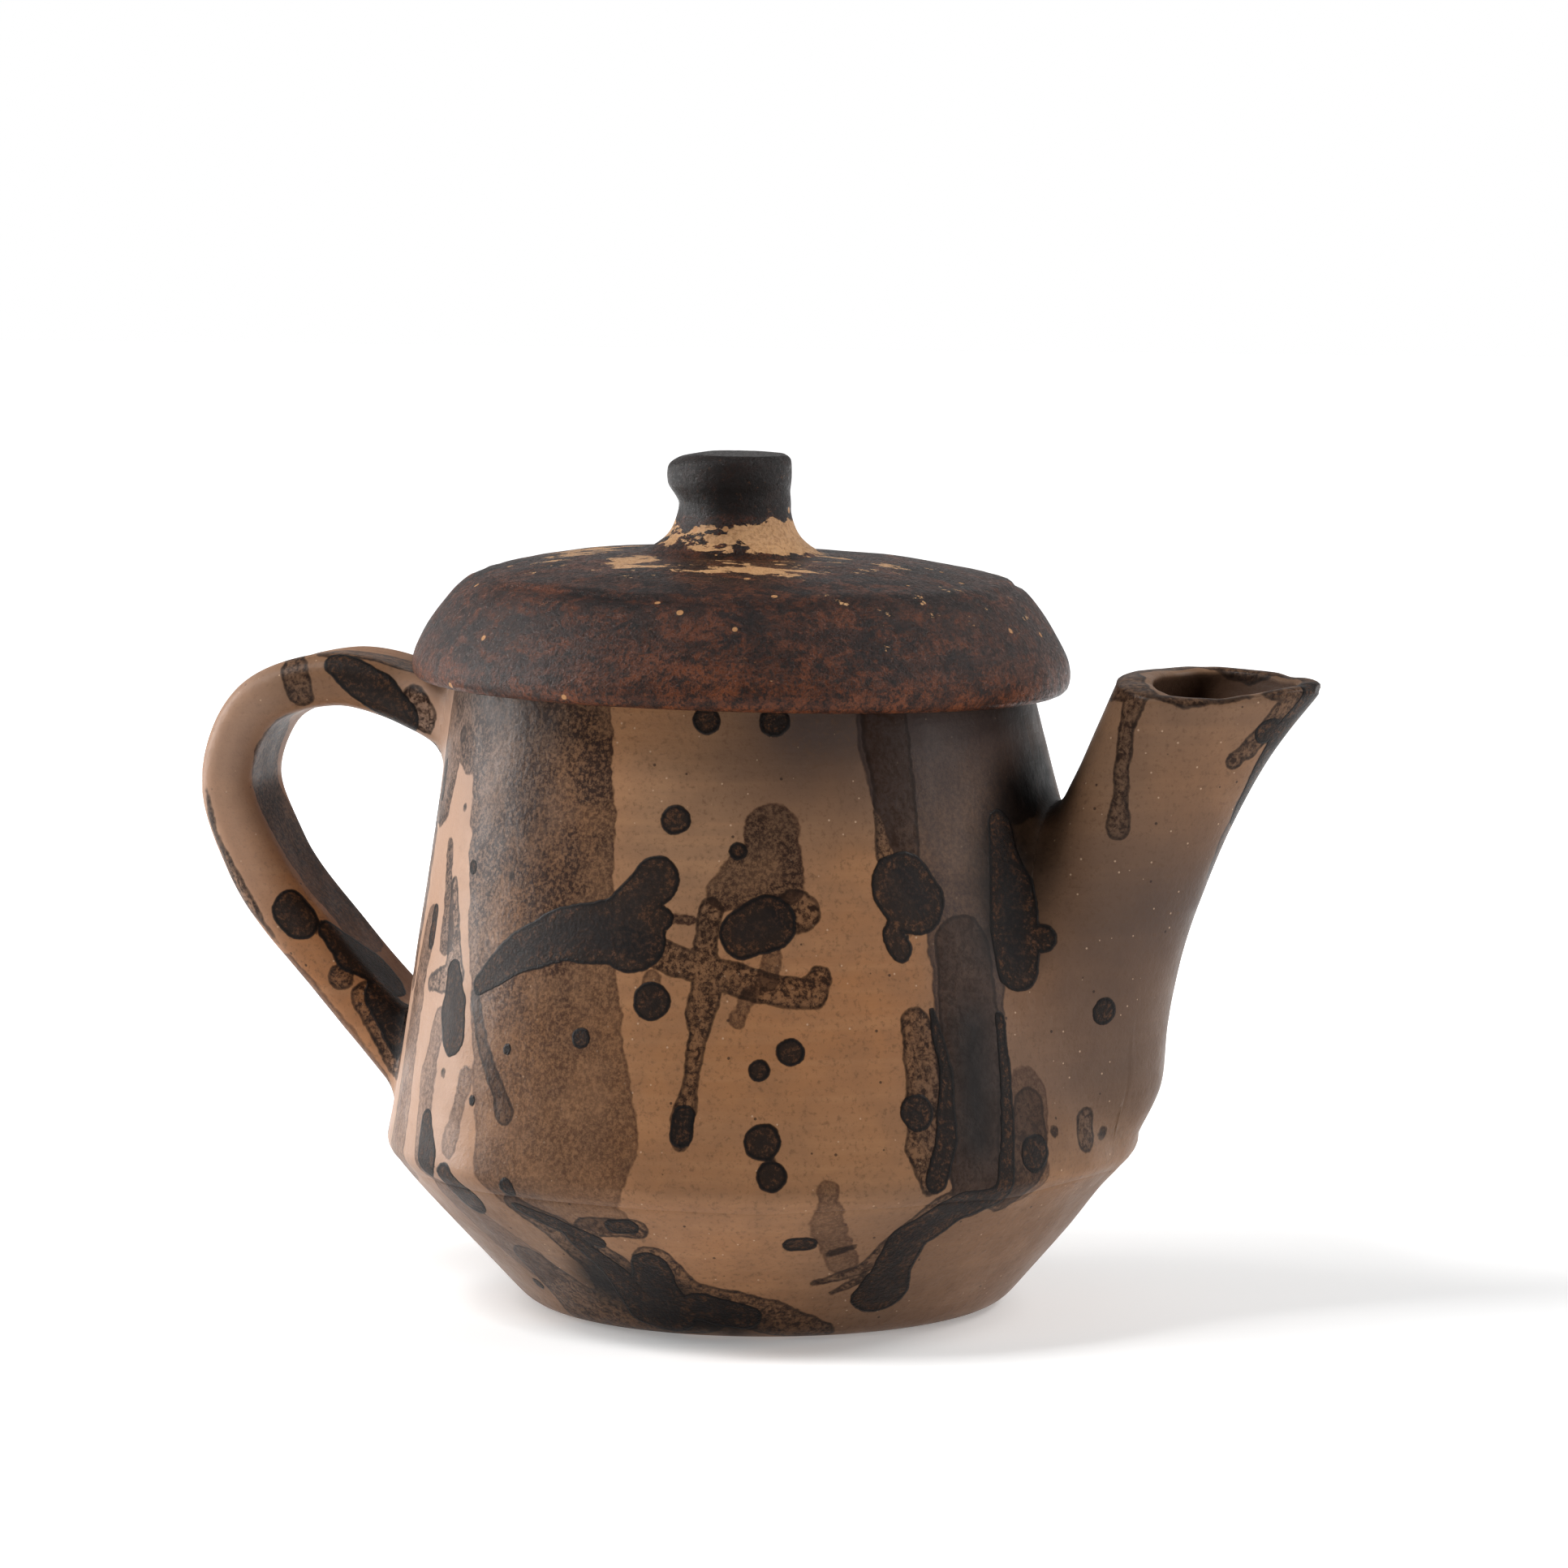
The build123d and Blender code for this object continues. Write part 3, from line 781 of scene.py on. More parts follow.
class Shader:
    """A material's node tree, with short calls for the nodes used here."""

    def __init__(self, name, colour):
        self.material = bpy.data.materials.new(name)
        self.material.use_nodes = True
        self.tree = self.material.node_tree
        self.tree.nodes.clear()
        output = self.node("OutputMaterial")
        self.surface = self.node("BsdfPrincipled")
        self.tree.links.new(self.surface.outputs[0], output.inputs["Surface"])
        self.place = self.node("TexCoord").outputs["Object"]
        self.colour = srgb(*colour)

    def node(self, kind):
        return self.tree.nodes.new("ShaderNode" + kind)

    def put(self, socket, value):
        if isinstance(value, bpy.types.NodeSocket):
            self.tree.links.new(value, socket)
        else:
            socket.default_value = value

    def math(self, operation, first, second):
        node = self.node("Math")
        node.operation = operation
        self.put(node.inputs[0], first)
        self.put(node.inputs[1], second)
        return node.outputs[0]

    def plus(self, first, second):
        return self.math("ADD", first, second)

    def times(self, first, second):
        return self.math("MULTIPLY", first, second)

    def ramp(self, value, low, high, start=0.0, end=1.0):
        """A smooth change from start to end as the value goes from low to high."""
        node = self.node("MapRange")
        node.interpolation_type = "SMOOTHSTEP"
        for socket, amount in zip(node.inputs, (value, low, high, start, end)):
            self.put(socket, amount)
        return node.outputs[0]

    def mix(self, share, first, second):
        node = self.node("Mix")
        node.data_type = "RGBA"
        self.put(node.inputs[0], share)
        self.put(node.inputs[6], first)
        self.put(node.inputs[7], second)
        return node.outputs[2]

    def paint(self, share, red, green, blue):
        """Lays a colour over what is there."""
        self.colour = self.mix(share, self.colour, srgb(red, green, blue))

    def noise(self, size, detail=3.0, roughness=0.55, stretch=None, warp=0.0):
        """Cloudy values around 0.5 that change over about size millimetres."""
        place = self.place
        if stretch:
            mapping = self.node("Mapping")
            mapping.inputs["Scale"].default_value = stretch
            self.put(mapping.inputs["Vector"], self.place)
            place = mapping.outputs[0]
        node = self.node("TexNoise")
        self.put(node.inputs["Vector"], place)
        node.inputs["Scale"].default_value = 1 / (size * MM)
        node.inputs["Detail"].default_value = detail
        node.inputs["Roughness"].default_value = roughness
        node.inputs["Distortion"].default_value = warp
        return node.outputs["Fac"]

    def specks(self, spacing, core, edge, strength):
        """Small random specks about spacing millimetres apart, solid to core and gone by edge."""
        node = self.node("TexVoronoi")
        self.put(node.inputs["Vector"], self.place)
        node.inputs["Scale"].default_value = 1 / (spacing * MM)
        return self.ramp(node.outputs["Distance"], core, edge, strength, 0.0)

    def height(self):
        """Height above the table, in metres."""
        node = self.node("SeparateXYZ")
        self.put(node.inputs[0], self.place)
        return node.outputs["Z"]

    def attribute(self, name):
        node = self.node("Attribute")
        node.attribute_name = name
        return node.outputs["Fac"]

    def bump(self, height, depth_mm, strength):
        node = self.node("Bump")
        node.inputs["Strength"].default_value = strength
        node.inputs["Distance"].default_value = depth_mm * MM
        self.put(node.inputs["Height"], height)
        self.put(self.surface.inputs["Normal"], node.outputs[0])

    def finish(self, roughness, specular):
        self.surface.inputs["Specular IOR Level"].default_value = specular
        self.put(self.surface.inputs["Base Color"], self.colour)
        self.put(self.surface.inputs["Roughness"], roughness)
        return self.material


def splash(shader, name, ragged, reach):
    """A splash's distance with a ragged edge, its cover and its tide line."""
    distance = shader.plus(shader.attribute(name), shader.times(ragged, reach))
    cover = shader.ramp(distance, -0.22, 0.12, 1.0, 0.0)
    outer = shader.ramp(distance, 0.0, 0.25, 1.0, 0.0)
    inner = shader.ramp(distance, -0.85, -0.3, 0.0, 1.0)
    return distance, cover, shader.times(outer, inner)


def paint_ground(shader, mottle, streaks, grain):
    """The bare clay: warm and grey clouds, throwing streaks, smoke with painted shade, specks and a
    painted sheen.
    """
    paint, ramp, times = shader.paint, shader.ramp, shader.times
    paint(ramp(shader.noise(34, 2, 0.5), 0.36, 0.66), 147, 107, 75)
    paint(shader.attribute("warm"), 152, 103, 66)
    paint(ramp(streaks, 0.40, 0.72, 0.0, 0.28), 172, 128, 92)
    paint(ramp(mottle, 0.35, 0.7, 0.0, 0.35), 116, 86, 64)
    # Smoke, and painted shade on the lower bowl.
    paint(times(shader.attribute("smoke_and_shade"), 0.95), 66, 55, 51)
    paint(ramp(grain, 0.50, 0.70, 0.0, 0.5), 86, 64, 48)
    paint(shader.specks(2.6, 0.05, 0.09, 0.6), 190, 160, 132)
    paint(shader.specks(4.3, 0.05, 0.075, 0.8), 44, 34, 29)
    # Painted sheen: paler pinkish clay on the body's front left and the strap's outer loop.
    paint(times(shader.attribute("painted_sheen"), 0.7), 178, 146, 126)
    paint(shader.attribute("inside"), 66, 47, 37)


def paint_splashes(shader, mottle, fine):
    """Veil, wash, drips, soot with painted shade and thick splashes, one over the other; returns the
    last one's cover.
    """
    paint, ramp, noise = shader.paint, shader.ramp, shader.noise
    plus, times = shader.plus, shader.times
    ragged = plus(noise(5.5, 3, 0.6), -0.5)
    bubbles = noise(2.2, 3, 0.6, warp=1.5)
    patches = noise(11, 3, 0.6)

    _, cover, tide = splash(shader, "veil", ragged, 2.6)
    stipple = times(ramp(fine, 0.36, 0.62, 0.74, 0.96), ramp(patches, 0.3, 0.65, 0.86, 1.0))
    paint(times(cover, stipple), 50, 40, 38)
    paint(times(tide, 0.4), 40, 29, 24)

    _, cover, tide = splash(shader, "wash", ragged, 3.4)
    stipple = times(ramp(fine, 0.38, 0.60, 0.50, 1.0), ramp(patches, 0.34, 0.60, 0.72, 1.0))
    stipple = times(stipple, ramp(shader.height(), 0.030, 0.095, 0.80, 1.15))
    depth = shader.mix(ramp(shader.height(), 0.045, 0.085), srgb(58, 38, 28), srgb(42, 28, 22))
    shader.colour = shader.mix(shader.math("MINIMUM", times(cover, stipple), 1.0), shader.colour, depth)
    paint(times(tide, 0.35), 62, 40, 28)

    _, cover, tide = splash(shader, "drip", ragged, 2.2)
    light_spots = ramp(plus(fine, times(bubbles, 0.7)), 0.70, 1.0, 1.0, 0.36)
    paint(times(cover, light_spots), 42, 27, 19)
    paint(times(tide, 0.62), 26, 17, 13)

    # Near-black soot, and painted shade in the spout's root creases and low on the foot.
    paint(times(shader.attribute("soot_and_shade"), ramp(mottle, 0.25, 0.6, 0.82, 1.0)), 17, 13, 12)

    distance, cover, tide = splash(shader, "dense", ragged, 1.5)
    freckles = ramp(plus(fine, times(bubbles, 0.5)), 0.72, 0.95)
    crust = shader.mix(freckles, srgb(26, 18, 14), srgb(88, 57, 36))
    crust = shader.mix(ramp(distance, -3.6, -1.2, 0.72, 0.15), crust, srgb(20, 18, 19))
    shader.colour = shader.mix(times(cover, 0.97), shader.colour, crust)
    paint(times(tide, 0.9), 12, 9, 9)
    return cover


def make_fired_clay():
    """Burnished clay with smoke clouds and painted shade, a painted sheen, and splashes."""
    shader = Shader("fired_clay_burnished", (140, 107, 81))
    mottle = shader.noise(7, 4, 0.6)
    streaks = shader.noise(5, 3, 0.6, stretch=(0.10, 0.10, 2.2))
    grain = shader.noise(0.9, 4, 0.7)
    fine = shader.noise(0.75, 5, 0.78)
    paint_ground(shader, mottle, streaks, grain)
    thick = paint_splashes(shader, mottle, fine)
    height = shader.plus(shader.times(grain, 0.5), shader.noise(3.0, 3, 0.6))
    height = shader.plus(height, shader.times(streaks, 0.5))
    height = shader.plus(height, shader.times(thick, shader.times(fine, 1.2)))
    shader.bump(height, 0.20, 0.7)
    return shader.finish(shader.ramp(mottle, 0.3, 0.7, 0.33, 0.45), 0.11)


def make_dark_clay():
    """Smoke-blackened clay with a reddish rim and crease, cream chips and a black knob."""
    shader = Shader("dark_clay_lid", (30, 17, 14))
    paint, ramp, noise = shader.paint, shader.ramp, shader.noise
    plus, times = shader.plus, shader.times

    grain = noise(0.8, 5, 0.75)
    blotches = noise(2.4, 5, 0.78)
    paint(ramp(noise(14, 5, 0.68), 0.40, 0.62), 62, 36, 26)
    rust = noise(6, 6, 0.78, stretch=(0.7, 0.7, 1.5), warp=0.8)
    paint(ramp(rust, 0.46, 0.62, 0.0, 0.8), 98, 53, 32)
    paint(times(shader.attribute("rim"), ramp(noise(8, 6, 0.78), 0.40, 0.62, 0.2, 1.0)), 104, 56, 32)
    paint(shader.attribute("black"), 20, 14, 12)
    paint(ramp(blotches, 0.38, 0.53, 0.75, 0.0), 17, 12, 11)
    paint(ramp(grain, 0.46, 0.62, 0.0, 0.85), 14, 10, 9)
    paint(ramp(noise(1.5, 5, 0.78), 0.60, 0.72, 0.0, 0.6), 126, 84, 56)
    paint(ramp(times(shader.attribute("crease"), blotches), 0.2, 0.6, 0.0, 0.7), 110, 58, 34)

    flakes = noise(4.5, 5, 0.68, stretch=(0.6, 1.0, 1.4))
    chips = ramp(plus(flakes, shader.attribute("chip")), 0.735, 0.75)
    cream = shader.mix(ramp(grain, 0.4, 0.65), srgb(196, 152, 108), srgb(160, 118, 80))
    shader.colour = shader.mix(chips, shader.colour, cream)
    paint(shader.specks(7, 0.08, 0.095, 0.9), 184, 134, 88)

    height = plus(plus(grain, times(blotches, 0.8)), times(chips, -0.5))
    shader.bump(height, 0.30, 0.8)
    return shader.finish(ramp(grain, 0.38, 0.62, 0.24, 0.46), 0.18)


FIRED = (make_fired_clay(), "fired_clay")
DARK = (make_dark_clay(), "dark_fired_clay")


# ---------------------------------------------------------------- the seven pieces
def inside_flags(loops, first):
    """1 for the points of the loops from the given one on, which line the inside."""
    return np.repeat(np.arange(len(loops)) >= first, [len(loop) for loop in loops]).astype(float)


def turned_loops(line, angles):
    """Loops round the Z axis, one for each (radius, height) of a line."""
    return [ring(radius, angles, height) for radius, height in line]


def seam_sink(theta, z, direction):
    """How far a skin lies below the surface near the luted joint, growing beyond it."""
    seam_z = SEAM_Z + 0.5 * lattice_noise(ring(60, theta, 0), 16, 41)
    past = (z - seam_z) * direction
    return 0.03 * bell(past / 0.55) + 0.75 * smooth_step(past, 0.0, 1.0)


def body_neighbours(points):
    """Distance to the spout or the strap, whichever is nearer."""
    far = np.full(len(points), 99.0)
    near_spout = points[:, 0] > 15
    near_strap = points[:, 0] < -35
    far[near_spout] = spout_distance(points[near_spout])
    far[near_strap] = strap_distance(points[near_strap])
    return far


def pot_skin(theta, z, direction):
    """Finished outside points of the body; direction is the side of the seam that they end on."""
    points = settle(body_point(theta, z), body_neighbours)
    lift = smooth_step(z, 0.2, 4.0) * unevenness(points) - seam_sink(theta, z, direction)
    return under_lid(points + outward(points) * lift[:, None])


def root_skin(points, amount):
    """Hand-worked points of a part luted to the body, left plain where they are sunk in it."""
    points = settle(points, body_distance)
    lift = smooth_step(body_distance(points), -2.0, 0.5)
    return hand_worked(points, outward(points), amount * lift)


def wall_place(column, row):
    """Angle and height on the wall's grid, with the hole's square of cells drawn into a round."""
    across = (column + BODY_COLUMNS / 2) % BODY_COLUMNS - BODY_COLUMNS / 2
    u = across / HOLE_HALF_WIDE
    v = (row - HOLE_ROW) / HOLE_HALF_HIGH
    square = np.maximum(np.abs(u), np.abs(v))
    circle = np.maximum(np.hypot(u, v), 1e-9)
    scale = 1 + (square / circle - 1) * (1 - smooth_step(square, 1.0, 2.2))
    scale[square < 1e-9] = 1
    theta = u * scale * HOLE_HALF_WIDE * 2 * math.pi / BODY_COLUMNS
    return theta, WALL_LOW_Z + (HOLE_ROW + v * scale * HOLE_HALF_HIGH) * WALL_PITCH


def make_upper_wall():
    """Outside skin, rolled rim and an inside with half as many cells each way."""
    rows, columns = WALL_ROWS, BODY_COLUMNS
    row, column = np.mgrid[0:rows + 1, 0:columns].astype(float)
    theta, z = wall_place(column.ravel(), row.ravel())
    loops = list(pot_skin(theta, z, -1).reshape(rows + 1, columns, 3))
    angles = circle_angles(columns)
    for step in range(1, 7):
        turn = step * math.pi / 7
        inset = WALL / 2 * (1 - math.cos(turn))
        height = WALL_TOP_Z + (MOUTH_Z - WALL_TOP_Z) * math.sin(turn) ** 0.7
        loops.append(under_lid(body_point(angles, np.full(columns, height), inset)))
    rim_loops = len(loops)
    theta, z = wall_place(column[::-2, ::2].ravel(), row[::-2, ::2].ravel())
    inside = hand_worked(body_point(theta, z, WALL), ring(1, theta, 0), 0.6)
    inside += ring(0.5 - 0.5 * smooth_step(z, SEAM_Z, SEAM_Z + 1.5), theta, 0)
    loops += list(inside.reshape(-1, columns // 2, 3))

    def in_hole(loop, cell):
        """Whether a cell lies in the pouring hole, on the outside or the inside."""
        if rows <= loop < rim_loops or loop == len(loops) - 1:
            return False
        share, level = (1, loop) if loop < rows else (2, rim_loops + rows // 2 - 1 - loop)
        count = columns // share
        across = (cell + count // 2) % count - count // 2 + 0.5
        up = level + 0.5 - HOLE_ROW / share
        return abs(across) < HOLE_HALF_WIDE / share and abs(up) < HOLE_HALF_HIGH / share

    def hole_edge(share, loop, way):
        """Vertex numbers round the hole's edge, anticlockwise from its lower left corner."""
        wide, high = HOLE_HALF_WIDE // share, HOLE_HALF_HIGH // share
        edge = [(c, -high) for c in range(-wide, wide)]
        edge += [(wide, r) for r in range(-high, high)]
        edge += [(c, high) for c in range(wide, -wide, -1)]
        edge += [(-wide, r) for r in range(high, -high, -1)]
        return [starts[loop + way * (HOLE_ROW // share + r)] + c % (columns // share)
                for c, r in edge]

    points, faces = skin(loops, closed=True, skip=in_hole)
    starts = np.cumsum([0] + [len(loop) for loop in loops])
    outer = hole_edge(1, 0, 1)
    inner = hole_edge(2, rim_loops + rows // 2, -1)
    for i in range(len(inner)):
        faces.append((
            outer[2 * i], outer[2 * i + 1], outer[(2 * i + 2) % len(outer)],
            inner[(i + 1) % len(inner)], inner[i],
        ))
    used = np.unique(np.concatenate(faces))
    faces = [np.searchsorted(used, face).tolist() for face in faces]
    inside_flag = inside_flags(loops, rim_loops)[used]
    points = points[used]
    make_piece(
        "pot_upper_wall", "upper_wall", "pot", FIRED, points, faces,
        pot_attributes(points, inside_flag),
    )


def make_lower_bowl():
    """A slightly hollow foot, the flared side with the belly, and the inside with its floor."""
    fine = circle_angles(BODY_COLUMNS)
    coarse = circle_angles(BODY_COLUMNS // 2)
    side = BODY_SIDE[BODY_SIDE[:, 1] < SEAM_Z + SKIRT]
    lengths = arc_lengths(side)
    heights = np.interp(np.linspace(0, lengths[-1], BOWL_ROWS + 1), lengths, side[:, 1])
    flat_r = BODY_SIDE[0, 0]
    loops = []
    for radius in np.linspace(3, flat_r - 1.5, 8):
        loops.append(ring(radius, coarse, 0.35 * smooth_step(flat_r - radius, 1.0, 9.0)))
    outside = pot_skin(np.tile(fine, len(heights)), np.repeat(heights, BODY_COLUMNS), 1)
    outside[:, 2] = np.maximum(outside[:, 2], 0)
    loops += list(outside.reshape(-1, BODY_COLUMNS, 3))
    outer_loops = len(loops)

    slope = math.atan2(BELLY_Z, BELLY_R - BASE_CORNER_R)
    shift = WALL / math.sin(slope)
    floor_r = BASE_CORNER_R + FLOOR_THICK / math.tan(slope) - shift
    top_z = SEAM_Z + SKIRT - 0.2
    top_r = BASE_CORNER_R - shift + top_z / math.tan(slope)
    inner_corners = [(top_r, top_z), (floor_r, FLOOR_THICK), (3.0, FLOOR_THICK)]
    facing = ring(1, coarse, -1) / math.sqrt(2)
    for loop in turned_loops(rounded_line(inner_corners, [0, 7.0], 2.0), coarse):
        loops.append(hand_worked(loop, facing, 0.6))
    points, faces = skin(loops, start_cap=True, end_cap=True)
    inside = np.append(inside_flags(loops, outer_loops), [0, 1])
    make_piece(
        "pot_lower_bowl", "lower_bowl", "pot", FIRED, points, faces, pot_attributes(points, inside)
    )


def root_height(turn, table):
    """Where each of the spout's lines has sunk far enough under the body's skin."""
    low = np.full(len(turn), table[0, 0])
    high = np.full(len(turn), 110.0)
    for _ in range(24):
        middle = (low + high) / 2
        sunk = body_distance(spout_point(turn, middle, table)) < -SINK
        low = np.where(sunk, middle, low)
        high = np.where(sunk, high, middle)
    return high


def spout_rim_height(turn):
    """The spout's rim: high at the back and the tip, with a dip on the near side."""
    middle = (SPOUT_REAR_Z + SPOUT_TIP_Z) / 2
    level = middle - (SPOUT_REAR_Z - SPOUT_TIP_Z) / 2 * np.cos(turn)
    sideways = np.where(np.sin(turn) < 0, SPOUT_NEAR_DIP, SPOUT_FAR_RISE)
    return level + sideways * np.sin(turn) ** 2 + 0.25 * lattice_noise(ring(40, turn, 0), 9, 51)


def make_spout():
    """Outside skin from its sunk root up, a rolled rim, and the channel down to its own root."""
    columns, outer_rows, inner_rows = 200, 110, 60
    turn = circle_angles(columns)
    rim_z = spout_rim_height(turn)
    high = rim_z - SPOUT_RIM_ROLL
    low = root_height(turn, SPOUT_OUTSIDE)
    outside = np.concatenate([
        spout_point(turn, low + (high - low) * share, SPOUT_OUTSIDE)
        for share in np.linspace(0, 1, outer_rows + 1)
    ])
    outside = root_skin(outside, 1.0).reshape(-1, columns, 3)

    low = root_height(turn, SPOUT_INSIDE)
    inside = []
    for share in np.linspace(1, 0, inner_rows + 1):
        row = spout_point(turn, low + (high - low) * share, SPOUT_INSIDE)
        facing = unit((row - row.mean(axis=0)) * (1, 1, 0))
        inside.append(hand_worked(row, facing, 0.7 * smooth_step(share, 0, 0.2)))

    rim = []
    for angle in np.arange(1, 10) * math.pi / 10:
        share = (1 - math.cos(angle)) / 2
        row = outside[-1] * (1 - share) + inside[0] * share
        row[:, 2] += (rim_z - high) * math.sin(angle) ** 0.6
        rim.append(row)
    loops = list(outside) + rim + inside
    points, faces = skin(loops, closed=True)
    inside_flag = inside_flags(loops, len(outside) + len(rim))
    points[:, 0] = np.minimum(points[:, 0], SPOUT_HIGH[0] - 0.02)
    make_piece(
        "pot_spout", "spout", "pot", FIRED, points, faces, pot_attributes(points, 0.8 * inside_flag)
    )


def strap_loop(width, thick, count):
    """Even points round a rounded rectangle, as (across, out)."""
    radius = STRAP_CORNER_R
    flat_w, flat_t = width / 2 - radius, thick / 2 - radius
    centres = [(flat_w, flat_t), (-flat_w, flat_t), (-flat_w, -flat_t), (flat_w, -flat_t)]
    corner = math.pi / 2 * radius
    runs = [2 * flat_t, corner, 2 * flat_w, corner] * 2
    ends = np.concatenate([[0], np.cumsum(runs)])
    loop = []
    for place in np.arange(count) / count * ends[-1]:
        run = int(np.searchsorted(ends, place, side="right") - 1)
        part = (place - ends[run]) / runs[run]
        quarter = run // 2
        turn = math.pi / 2 * (quarter + (part if run % 2 else 0))
        before, after = centres[quarter - 1], centres[quarter]
        if run % 2:
            before, part = after, 0
        x = before[0] + (after[0] - before[0]) * part
        y = before[1] + (after[1] - before[1]) * part
        loop.append((x + radius * math.cos(turn), y + radius * math.sin(turn)))
    return np.array(loop)


def make_handle():
    """The strap's sections along its path, sunk a little into the body at both ends."""
    count = 96
    centres = np.stack([STRAP_LINE[:, 0], 0 * STRAP_LINE[:, 0], STRAP_LINE[:, 1]], axis=1)
    outside = np.where(body_distance(centres) > -SINK - 2)[0]
    loops = []
    for i in range(outside[0], outside[-1] + 1):
        loop = strap_loop(*strap_size(STRAP_SHARE[i]), count)
        out = np.array([-STRAP_TANGENT[i, 1], 0, STRAP_TANGENT[i, 0]])
        loops.append(centres[i] + loop[:, :1] * np.array([0, 1, 0]) + loop[:, 1:] * out)
    points = root_skin(np.concatenate(loops), 0.9)
    for _ in range(3):
        too_deep = np.minimum(body_distance(points) + SINK, 0)
        points = points - gradient(body_distance, points) * too_deep[:, None]
    points = under_lid(points)
    points[:, 0] = np.maximum(points[:, 0], cad_box[0][0] / MM + 0.03)
    points, faces = skin(list(points.reshape(-1, count, 3)), start_cap=True, end_cap=True)
    outside_flag = np.zeros(len(points))
    make_piece(
        "pot_handle", "handle", "pot", FIRED, points, faces, pot_attributes(points, outside_flag)
    )


def make_lid_cap():
    """The dome and its rolled rim, with a pressed crease at the shoulder, and the hollow below."""
    columns = 480
    angles = circle_angles(columns)
    outer = even_line(LID_OUTSIDE, 0.8)[3:]
    lengths = arc_lengths(outer)
    shoulder = lengths[np.argmin(np.abs(outer[:, 0] - 48.6) + 9 * (outer[:, 1] < 5))]
    local = np.concatenate(turned_loops(outer, angles))
    from_shoulder = np.repeat(lengths, columns) - shoulder
    theta = np.tile(angles, len(outer))
    tangent = np.repeat(unit(np.gradient(outer, axis=0)), columns, axis=0)
    normal = ring(-tangent[:, 1], theta, tangent[:, 0])
    dents = unevenness(local, CAP_DENTS)
    crease = 0.5 * bell((from_shoulder - 1.6 * lattice_noise(local, 15, 64)) / 1.1)
    crease *= smooth_step(lattice_noise(local, 22, 65), -0.2, 0.3)
    sharper = 0.35 * bell(from_shoulder / 3.0) * np.maximum(np.cos(theta), 0) ** 2
    above_rim = smooth_step(local[:, 2], -8.8, -5.5)
    local = local + normal * (above_rim * (dents - crease + sharper))[:, None]
    rim_share = 1 - smooth_step(local[:, 2], -8, -2)
    local[:, 2] += 0.4 * rim_share * np.maximum(-np.sin(theta), 0) ** 2
    local[:, 2] -= 0.5 * rim_share * np.maximum(np.cos(theta), 0) ** 2

    under = [(r, LID_GAP) for r in np.linspace(LID_OUTSIDE[-1, 0], LID_HOLLOW_R, 8)[1:-1]]
    under += [
        (LID_HOLLOW_R * math.cos(a), LID_GAP + (LID_HOLLOW_TOP_Z - LID_GAP) * math.sin(a))
        for a in np.linspace(0, math.pi / 2 - 0.08, 14)
    ]
    loops = list(from_lid(local).reshape(-1, columns, 3))
    loops += [from_lid(loop) for loop in turned_loops(under, angles)]
    points, faces = skin(loops, start_cap=True, end_cap=True)
    make_piece("lid_cap_visual", "lid_cap", "lid", DARK, points, faces, lid_attributes(points))


def lid_attributes(points):
    """How reddish, creased and black each point's clay is, and where cream chips show."""
    local = to_lid(points)
    x, y, z = local.T
    radius = np.hypot(x, y)
    wobble = 1.5 * lattice_noise(points, 10, 71) + 3.0 * lattice_noise(points, 30, 72)
    rim = smooth_step(-(z + wobble), -1.0, 6.5)
    knob_r = np.hypot(x - KNOB_X, y)
    ridge = z - 9.6 - 0.9 * lattice_noise(local, 15, 64)
    crease = bell(ridge / 0.7) * smooth_step(radius, 42, 46) * smooth_step(-x, -10, 14)
    crease *= smooth_step(lattice_noise(local, 7, 74), -0.4, 0.5)
    patches = lattice_noise(points, 9, 73) * 0.5 + 0.5
    far_side = smooth_step(lattice_noise(points, 20, 75) + 1.2 * smooth_step(-y, -4, 6), -0.1, 0.3)
    dome = bell((knob_r - 27) / 13) * (0.10 + 0.22 * patches) * smooth_step(z, 10, 13) * far_side
    root = bell((knob_r - 14) / 6) * (0.12 + 0.25 * patches) * smooth_step(x, -14, 12)
    neck = bell((z - 17.5) / 3.4) * (0.26 + 0.06 * patches)
    neck += bell((z - 17) / 3.4) * smooth_step(x - KNOB_X, 4, 10) * 0.4
    on_cap = 1 - smooth_step(z, 15.6, 17)
    chip = np.where(z > 9, np.maximum(dome, root) * on_cap, 0)
    chip = np.maximum(chip, neck * smooth_step(z, 13.6, 15.5))
    chip = np.maximum(chip, 0.02 + 0.10 * bell((radius - 49) / 6) * smooth_step(x, 10, 40))
    return {"rim": rim, "chip": chip, "crease": crease, "black": 0.9 * smooth_step(z, 20, 22)}


def make_lid_ring():
    """The locating ring: a round band with its lower corners rounded."""
    top = LID_GAP + 0.4
    inner_r, middle = RING_R - RING_THICK, RING_R - RING_THICK / 2
    corners = [
        (middle, top), (RING_R, top), (RING_R, -RING_DEPTH), (inner_r, -RING_DEPTH),
        (inner_r, top), (middle + 0.01, top),
    ]
    line = rounded_line(corners, [0, 0.2, 1.8, 1.8, 0.2], 0.7)[:-1]
    loops = []
    for loop in turned_loops(line, circle_angles(360)):
        loops.append(from_lid(loop + 0.12 * lattice_noise(loop, 8, 81)[:, None] * (1, 1, 0)))
    points, faces = skin(loops, closed=True)
    make_piece(
        "lid_ring_visual", "lid_locating_ring", "lid", FIRED, points, faces,
        pot_attributes(points, np.full(len(points), 0.7)),
    )


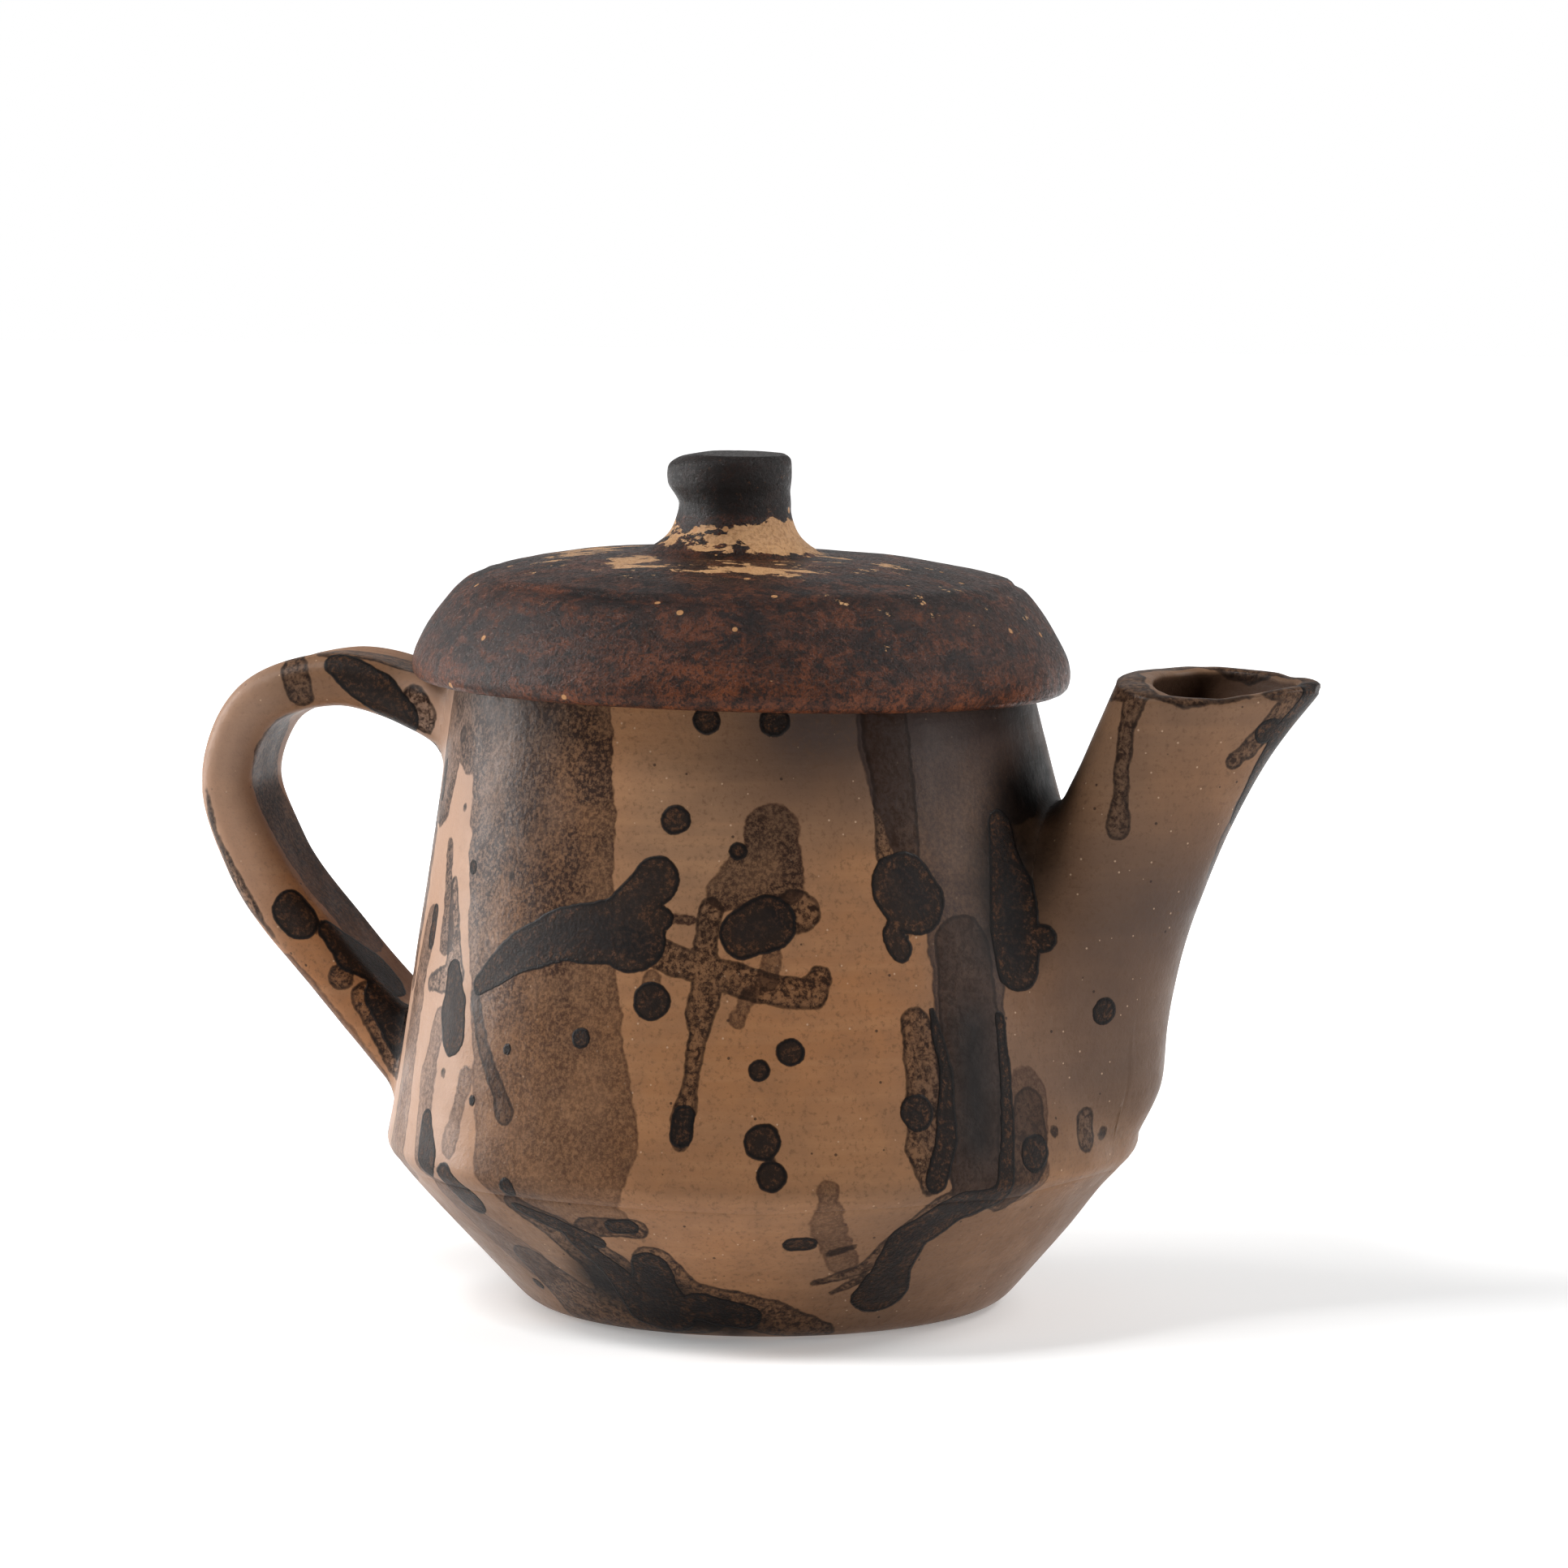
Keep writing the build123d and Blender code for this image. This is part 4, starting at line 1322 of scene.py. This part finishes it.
def make_lid_knob():
    """The pinched knob: its flared root, its waist, and a head that leans and swells to -X."""
    columns = 240
    angles = circle_angles(columns)
    left = np.maximum(-np.cos(angles), 0) ** 2
    loops = []
    for radius, height in even_line(KNOB_OUTSIDE, 0.45)[:-3]:
        head = smooth_step(height, 22.5, 26.5)
        waist = (1 - head) * smooth_step(height, 15, 20)
        spread = radius + (0.55 * head - 0.4 * waist) * left
        loops.append(ring(spread, angles, height, KNOB_X - 0.3 * head + 0.35 * (1 - head)))
    local = np.concatenate(loops)
    facing = local - np.array([KNOB_X, 0, 27.0])
    facing[:, 2] *= smooth_step(local[:, 2], 26, 31)
    dents = unevenness(local, KNOB_DENTS) * smooth_step(local[:, 2], 15.5, 19)
    local = local + unit(facing) * dents[:, None]
    top = smooth_step(local[:, 2], 27, 31)
    lean = 0.045 * (local[:, 0] - KNOB_X) - 0.5 * smooth_step(KNOB_X - 4 - local[:, 0], 0, 6)
    local[:, 2] = np.minimum(local[:, 2] + top * lean, 31.85)
    loops = [from_lid(ring(19, angles, 12.4, KNOB_X))]
    loops += list(from_lid(local).reshape(-1, columns, 3))
    points, faces = skin(loops, start_cap=True, end_cap=True)
    make_piece("lid_knob_visual", "lid_knob", "lid", DARK, points, faces, lid_attributes(points))


make_lower_bowl()
make_upper_wall()
make_spout()
make_handle()
make_lid_cap()
make_lid_ring()
make_lid_knob()


# ---------------------------------------------------------------- floor, light and camera
def make_floor():
    shader = Shader("floor_white", (248, 248, 248))
    half = 4.0
    mesh = bpy.data.meshes.new("studio_floor")
    level = -0.00005
    corners = [(-half, -half, level), (half, -half, level), (half, half, level), (-half, half, level)]
    mesh.from_pydata(corners, [], [(0, 1, 2, 3)])
    shader.surface.inputs["Emission Color"].default_value = (1, 1, 1, 1)
    distance = shader.node("VectorMath")
    distance.operation = "LENGTH"
    shader.put(distance.inputs[0], shader.place)
    glow = shader.ramp(distance.outputs["Value"], 0.12, 0.60, 0.24, 1.0)
    shader.put(shader.surface.inputs["Emission Strength"], glow)
    mesh.materials.append(shader.finish(0.8, 0.3))
    floor = bpy.data.objects.new("studio_floor", mesh)
    bpy.context.scene.collection.objects.link(floor)


def add_light(name, place, aim, size, power):
    """A soft rectangular light that looks at a point."""
    data = bpy.data.lights.new(name, "AREA")
    data.shape = "RECTANGLE"
    data.size, data.size_y = size
    data.energy = power
    light = bpy.data.objects.new(name, data)
    bpy.context.scene.collection.objects.link(light)
    light.location = place
    light.rotation_euler = (Vector(aim) - Vector(place)).to_track_quat("-Z", "Y").to_euler()


def set_world(front, back):
    """A white studio: dim on the camera's side, bright behind the pot, white where seen."""
    world = bpy.data.worlds.new("studio")
    bpy.context.scene.world = world
    world.use_nodes = True
    nodes, links = world.node_tree.nodes, world.node_tree.links
    background = nodes["Background"]
    background.inputs["Color"].default_value = (1, 1, 1, 1)
    direction = nodes.new("ShaderNodeSeparateXYZ")
    links.new(nodes.new("ShaderNodeTexCoord").outputs["Generated"], direction.inputs[0])
    side = nodes.new("ShaderNodeMapRange")
    side.inputs["From Min"].default_value = -0.3
    side.inputs["From Max"].default_value = 0.8
    side.inputs["To Min"].default_value = front
    side.inputs["To Max"].default_value = back
    links.new(direction.outputs["Y"], side.inputs["Value"])
    seen = nodes.new("ShaderNodeLightPath")
    strength = nodes.new("ShaderNodeMapRange")
    strength.inputs["To Max"].default_value = 1.0
    links.new(side.outputs[0], strength.inputs["To Min"])
    links.new(seen.outputs["Is Camera Ray"], strength.inputs["Value"])
    links.new(strength.outputs[0], background.inputs["Strength"])


def add_camera():
    """Long lens from the front, turned 15 degrees towards the spout and a little above."""
    aim = Vector((0.00325, 0.0, 0.0935))
    azimuth, elevation, distance = math.radians(15), math.radians(6.1), 1.2
    back = Vector((
        math.sin(azimuth) * math.cos(elevation),
        -math.cos(azimuth) * math.cos(elevation),
        math.sin(elevation),
    ))
    data = bpy.data.cameras.new("camera")
    data.sensor_width = 36.0
    data.lens = 153.15
    data.clip_start = 0.05
    camera = bpy.data.objects.new("camera", data)
    bpy.context.scene.collection.objects.link(camera)
    camera.location = aim + back * distance
    camera.rotation_euler = (-back).to_track_quat("-Z", "Y").to_euler()
    bpy.context.scene.camera = camera


make_floor()
set_world(0.05, 0.4)
AIM = (0, 0, 0.07)
add_light("top_left", (-0.53, -0.42, 1.0), AIM, (0.36, 0.36), 6.5)
add_light("glint_left", (-0.76, -0.24, 0.88), (0, 0, 0.12), (0.22, 0.14), 2.2)
add_light("top_right", (0.77, 0.34, 0.86), AIM, (0.36, 0.36), 4.5)
add_light("glint_right", (0.80, 0.12, 0.84), (0, 0, 0.12), (0.20, 0.12), 1.3)
add_light("strip_left", (-1.05, 0.10, 0.24), AIM, (0.40, 0.8), 11)
add_light("strip_right", (1.1, 0.05, 0.35), AIM, (0.30, 0.9), 4)
add_camera()
bpy.context.scene.view_settings.view_transform = "Standard"
